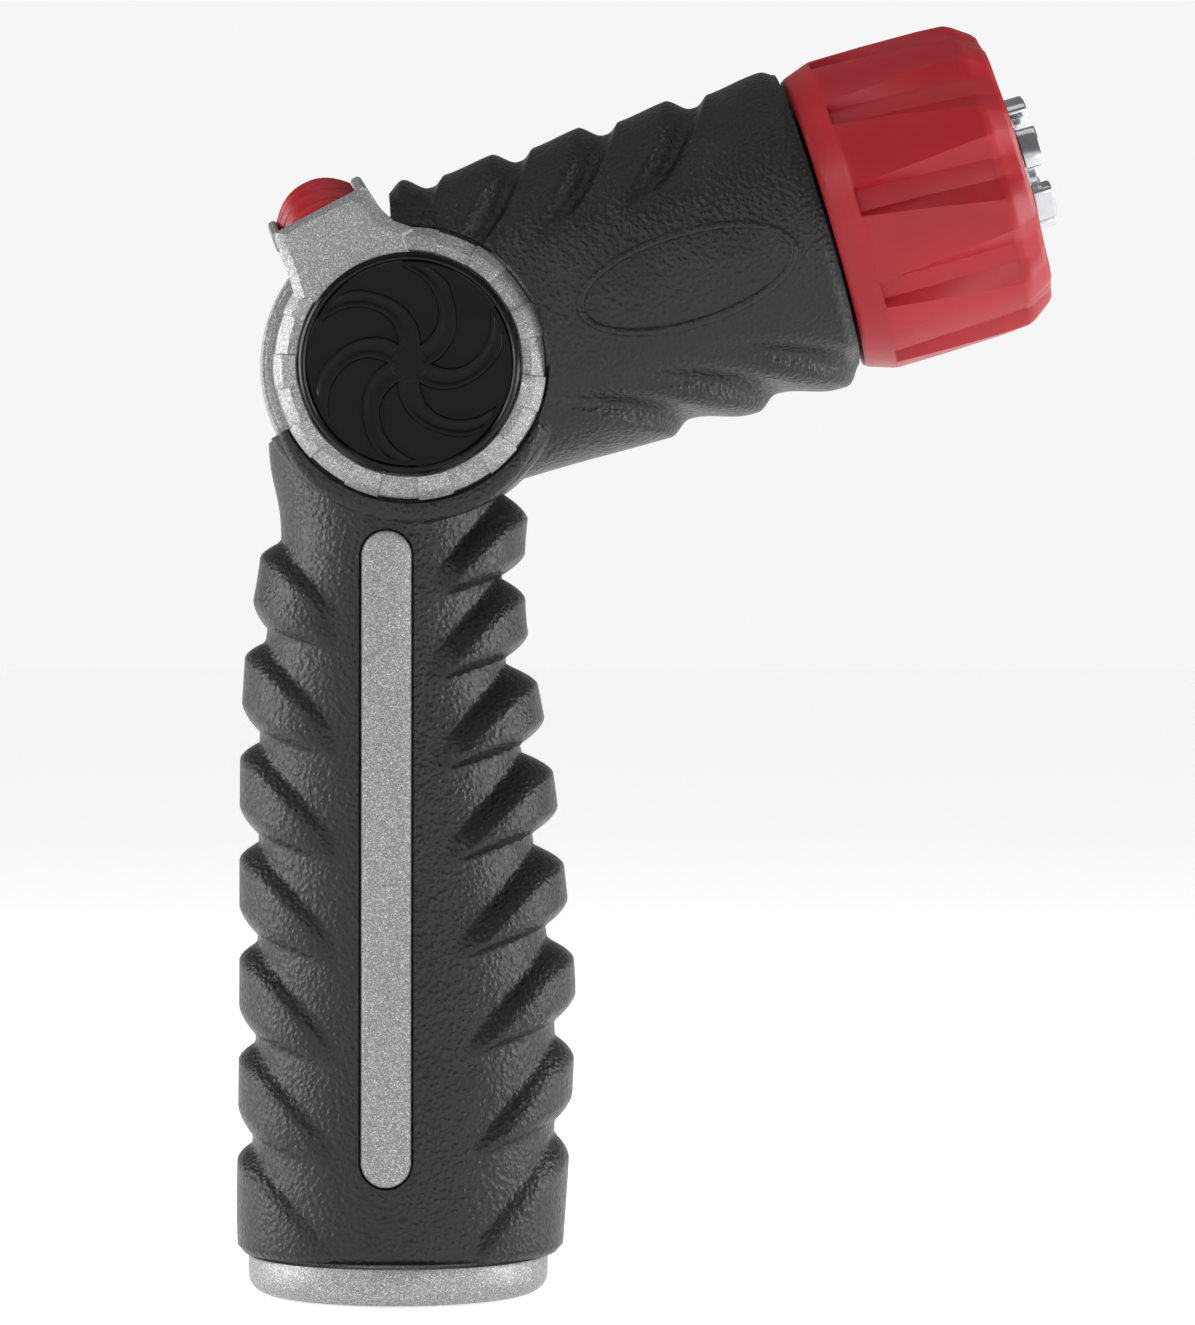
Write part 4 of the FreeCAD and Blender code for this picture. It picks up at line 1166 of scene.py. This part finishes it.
# %% [markdown]
# ## The chrome crown
# The fixed deflector in the bell's mouth is a cone under a thin flange, with a shallow trough in its face
# and six rounded lobes round it.  One lobe is a short piece of ring with generous bevels, and the ring tree
# repeats it round the barrel's axis.

# %% Crown
CROWN_R, CROWN_FACE, CROWN_TIP = 9.15, 86.4, 88.95
DISH_R, DISH_HALF, DISH_DEEP = 5.25, 1.4, 0.9
LOBES, LOBE_DEGREES, FIRST_LOBE = 6, 39.0, 18.0
LOBE_WALL, LOBE_FOOT = 2.3, 86.0


def crown_cone():
    """The cone and its flange, with a shallow round trough in the front face."""
    outline = [(80.5, 2.05), (80.5, 3.0), (84.6, 8.6), (85.0, CROWN_R), (85.7, CROWN_R + 0.02),
               (86.0, CROWN_R - 0.3), (CROWN_FACE, CROWN_R - 0.9)]
    for a in np.linspace(math.pi, -math.pi, 15):
        outline.append((CROWN_FACE - DISH_DEEP * (1 + math.cos(a)) / 2, DISH_R + DISH_HALF * a / math.pi))
    outline.append((CROWN_FACE, 2.05))
    return lathe("crown_cone", outline, on_barrel, 120)


def lobe():
    """One lobe, a little narrower at its two ends."""
    half = math.radians(LOBE_DEGREES / 2)
    middle = math.radians(FIRST_LOBE)
    inner, outer = CROWN_R - LOBE_WALL, CROWN_R - 0.02
    outline = [(LOBE_FOOT, inner), (LOBE_FOOT, outer), (CROWN_TIP, outer), (CROWN_TIP, inner)]
    rings = []
    for t in np.linspace(-1, 1, 15):
        angle = middle + half * t
        narrow = 0.55 * abs(t) ** 4
        c, s = math.cos(angle), math.sin(angle)
        rings.append([((r - narrow) * c, (r - narrow) * s, along) for along, r in outline])
    return soften(ring_stack("lobe", on_barrel(np.array(rings))), 0.55, 4)


crown = gather("crown", [crown_cone(), repeat_round(lobe(), LOBES, BARREL, FORWARD, "chrome")])
place_piece(shade(crown), "nozzle_body", "chrome", "deflector_crown")

# %% [markdown]
# ## The stage
# The nozzle stands upright on a light table, a plain white floor that glows a little so that no hard shadow
# falls on it.

# %% Floor
FLOOR_HALF = 4000.0
FLOOR_TOP, FLOOR_UNDER = -0.15, -5.0
FLOOR_GLOW = 0.66


def flat_floor():
    corners = [(-1, -1), (1, -1), (1, 1), (-1, 1)]
    return ring_stack("floor", np.array([[(FLOOR_HALF * x, FLOOR_HALF * y, z) for x, y in corners]
                                         for z in (FLOOR_UNDER, FLOOR_TOP)]))


def pale_floor():
    finish = Finish("pale_floor", (0.9, 0.9, 0.9), 0.0, 0.6)
    cloud = finish.noise(400.0, 2.0).outputs["Fac"]
    finish.feed("Base Color", finish.ramp(cloud, [(0.3, 0.89), (0.7, 0.91)]))
    finish.feed("Roughness", finish.ramp(finish.noise(3.0).outputs["Fac"], [(0.3, 0.55), (0.7, 0.65)]))
    finish.shader.inputs["Emission Color"].default_value = (1, 1, 1, 1)
    finish.shader.inputs["Emission Strength"].default_value = FLOOR_GLOW
    return finish.material


floor = flat_floor()
floor.data.materials.append(pale_floor())
print("floor laid", -FLOOR_TOP, "mm under the nozzle's foot")

# %% [markdown]
# ## The lights
# A tall soft light on each side gives the rubber its grey edges and the bell its streaks.  Three weaker ones,
# above and in front, fill the rest.

# %% Soft lights
MIDDLE = (0.03, 0.0, 0.09)


def soft_light(name, spot, wide, high, power):
    """A rectangular light at a spot in metres, turned towards the middle of the nozzle."""
    lamp = bpy.data.lights.new(name, "AREA")
    lamp.shape = "RECTANGLE"
    lamp.size, lamp.size_y = wide, high
    lamp.energy = power
    obj = bpy.data.objects.new(name, lamp)
    obj.location = spot
    obj.rotation_euler = (Vector(MIDDLE) - Vector(spot)).to_track_quat("-Z", "Y").to_euler()
    bpy.context.scene.collection.objects.link(obj)
    print(name, "has", power, "watts")


soft_light("left_light", (-0.62, 0.02, 0.16), 0.34, 0.7, 5.2)
soft_light("right_light", (0.68, 0.02, 0.18), 0.34, 0.7, 5.2)
soft_light("top_light", (0.02, -0.12, 0.80), 0.8, 0.4, 0.7)
soft_light("front_light", (0.42, -0.80, 0.02), 0.30, 0.20, 1.4)
soft_light("high_light", (-0.45, -0.75, 0.45), 0.16, 0.16, 1.3)

# %% [markdown]
# ## The surroundings
# A studio is brightest round about at eye level, where its white walls are, and dimmer overhead.  Shiny black
# parts mirror that difference, and it gives them their contrast.  The grey depends only on how steeply a
# direction points up or down.

# %% Surroundings
WALL_GREY, CEILING_GREY = 0.92, 0.22
WALL_END, CEILING_START = 0.12, 0.26  # steepness, 0 level and 1 straight up


def studio_walls():
    world = bpy.data.worlds.new("studio")
    world.use_nodes = True
    make, link = world.node_tree.nodes.new, world.node_tree.links.new
    split = make("ShaderNodeSeparateXYZ")
    link(make("ShaderNodeTexCoord").outputs["Generated"], split.inputs[0])
    steepness = make("ShaderNodeMath")
    steepness.operation = "ABSOLUTE"
    link(split.outputs["Z"], steepness.inputs[0])
    greys = make("ShaderNodeValToRGB")
    stops = ((WALL_END, WALL_GREY), (CEILING_START, CEILING_GREY))
    for element, (where, grey) in zip(greys.color_ramp.elements, stops):
        element.position = where
        element.color = (grey, grey, grey, 1)
    link(steepness.outputs[0], greys.inputs["Fac"])
    background = world.node_tree.nodes["Background"]
    background.inputs["Strength"].default_value = 1.0
    link(greys.outputs["Color"], background.inputs["Color"])
    return world


bpy.context.scene.world = studio_walls()
bpy.context.scene.view_settings.view_transform = "Standard"

# %% [markdown]
# ## The camera
# The camera looks level across the mid plane through a long lens, and that keeps the outline nearly square
# on.  It stands opposite the nozzle's upper half, and a small shift of the lens brings the whole nozzle
# into view.

# %% Camera
LENS_MM = 163.0
EYE_X, EYE_Z, DISTANCE = 23.1, 100.6, 810.0
FRAME_X, FRAME_Z = 26.9, 84.7        # the middle of the frame, on the mid plane
FRAME_HIGH = 178.9                   # the frame's longer side there
view = bpy.data.cameras.new("view")
view.lens = LENS_MM
view.shift_x = (FRAME_X - EYE_X) / FRAME_HIGH
view.shift_y = (FRAME_Z - EYE_Z) / FRAME_HIGH
view.clip_start, view.clip_end = 0.05, 20
camera = bpy.data.objects.new("camera", view)
camera.location = (EYE_X * MM, -DISTANCE * MM, EYE_Z * MM)
camera.rotation_euler = (math.radians(90), 0, 0)
bpy.context.scene.collection.objects.link(camera)
bpy.context.scene.camera = camera
print("camera at", [round(value, 3) for value in camera.location], "m")
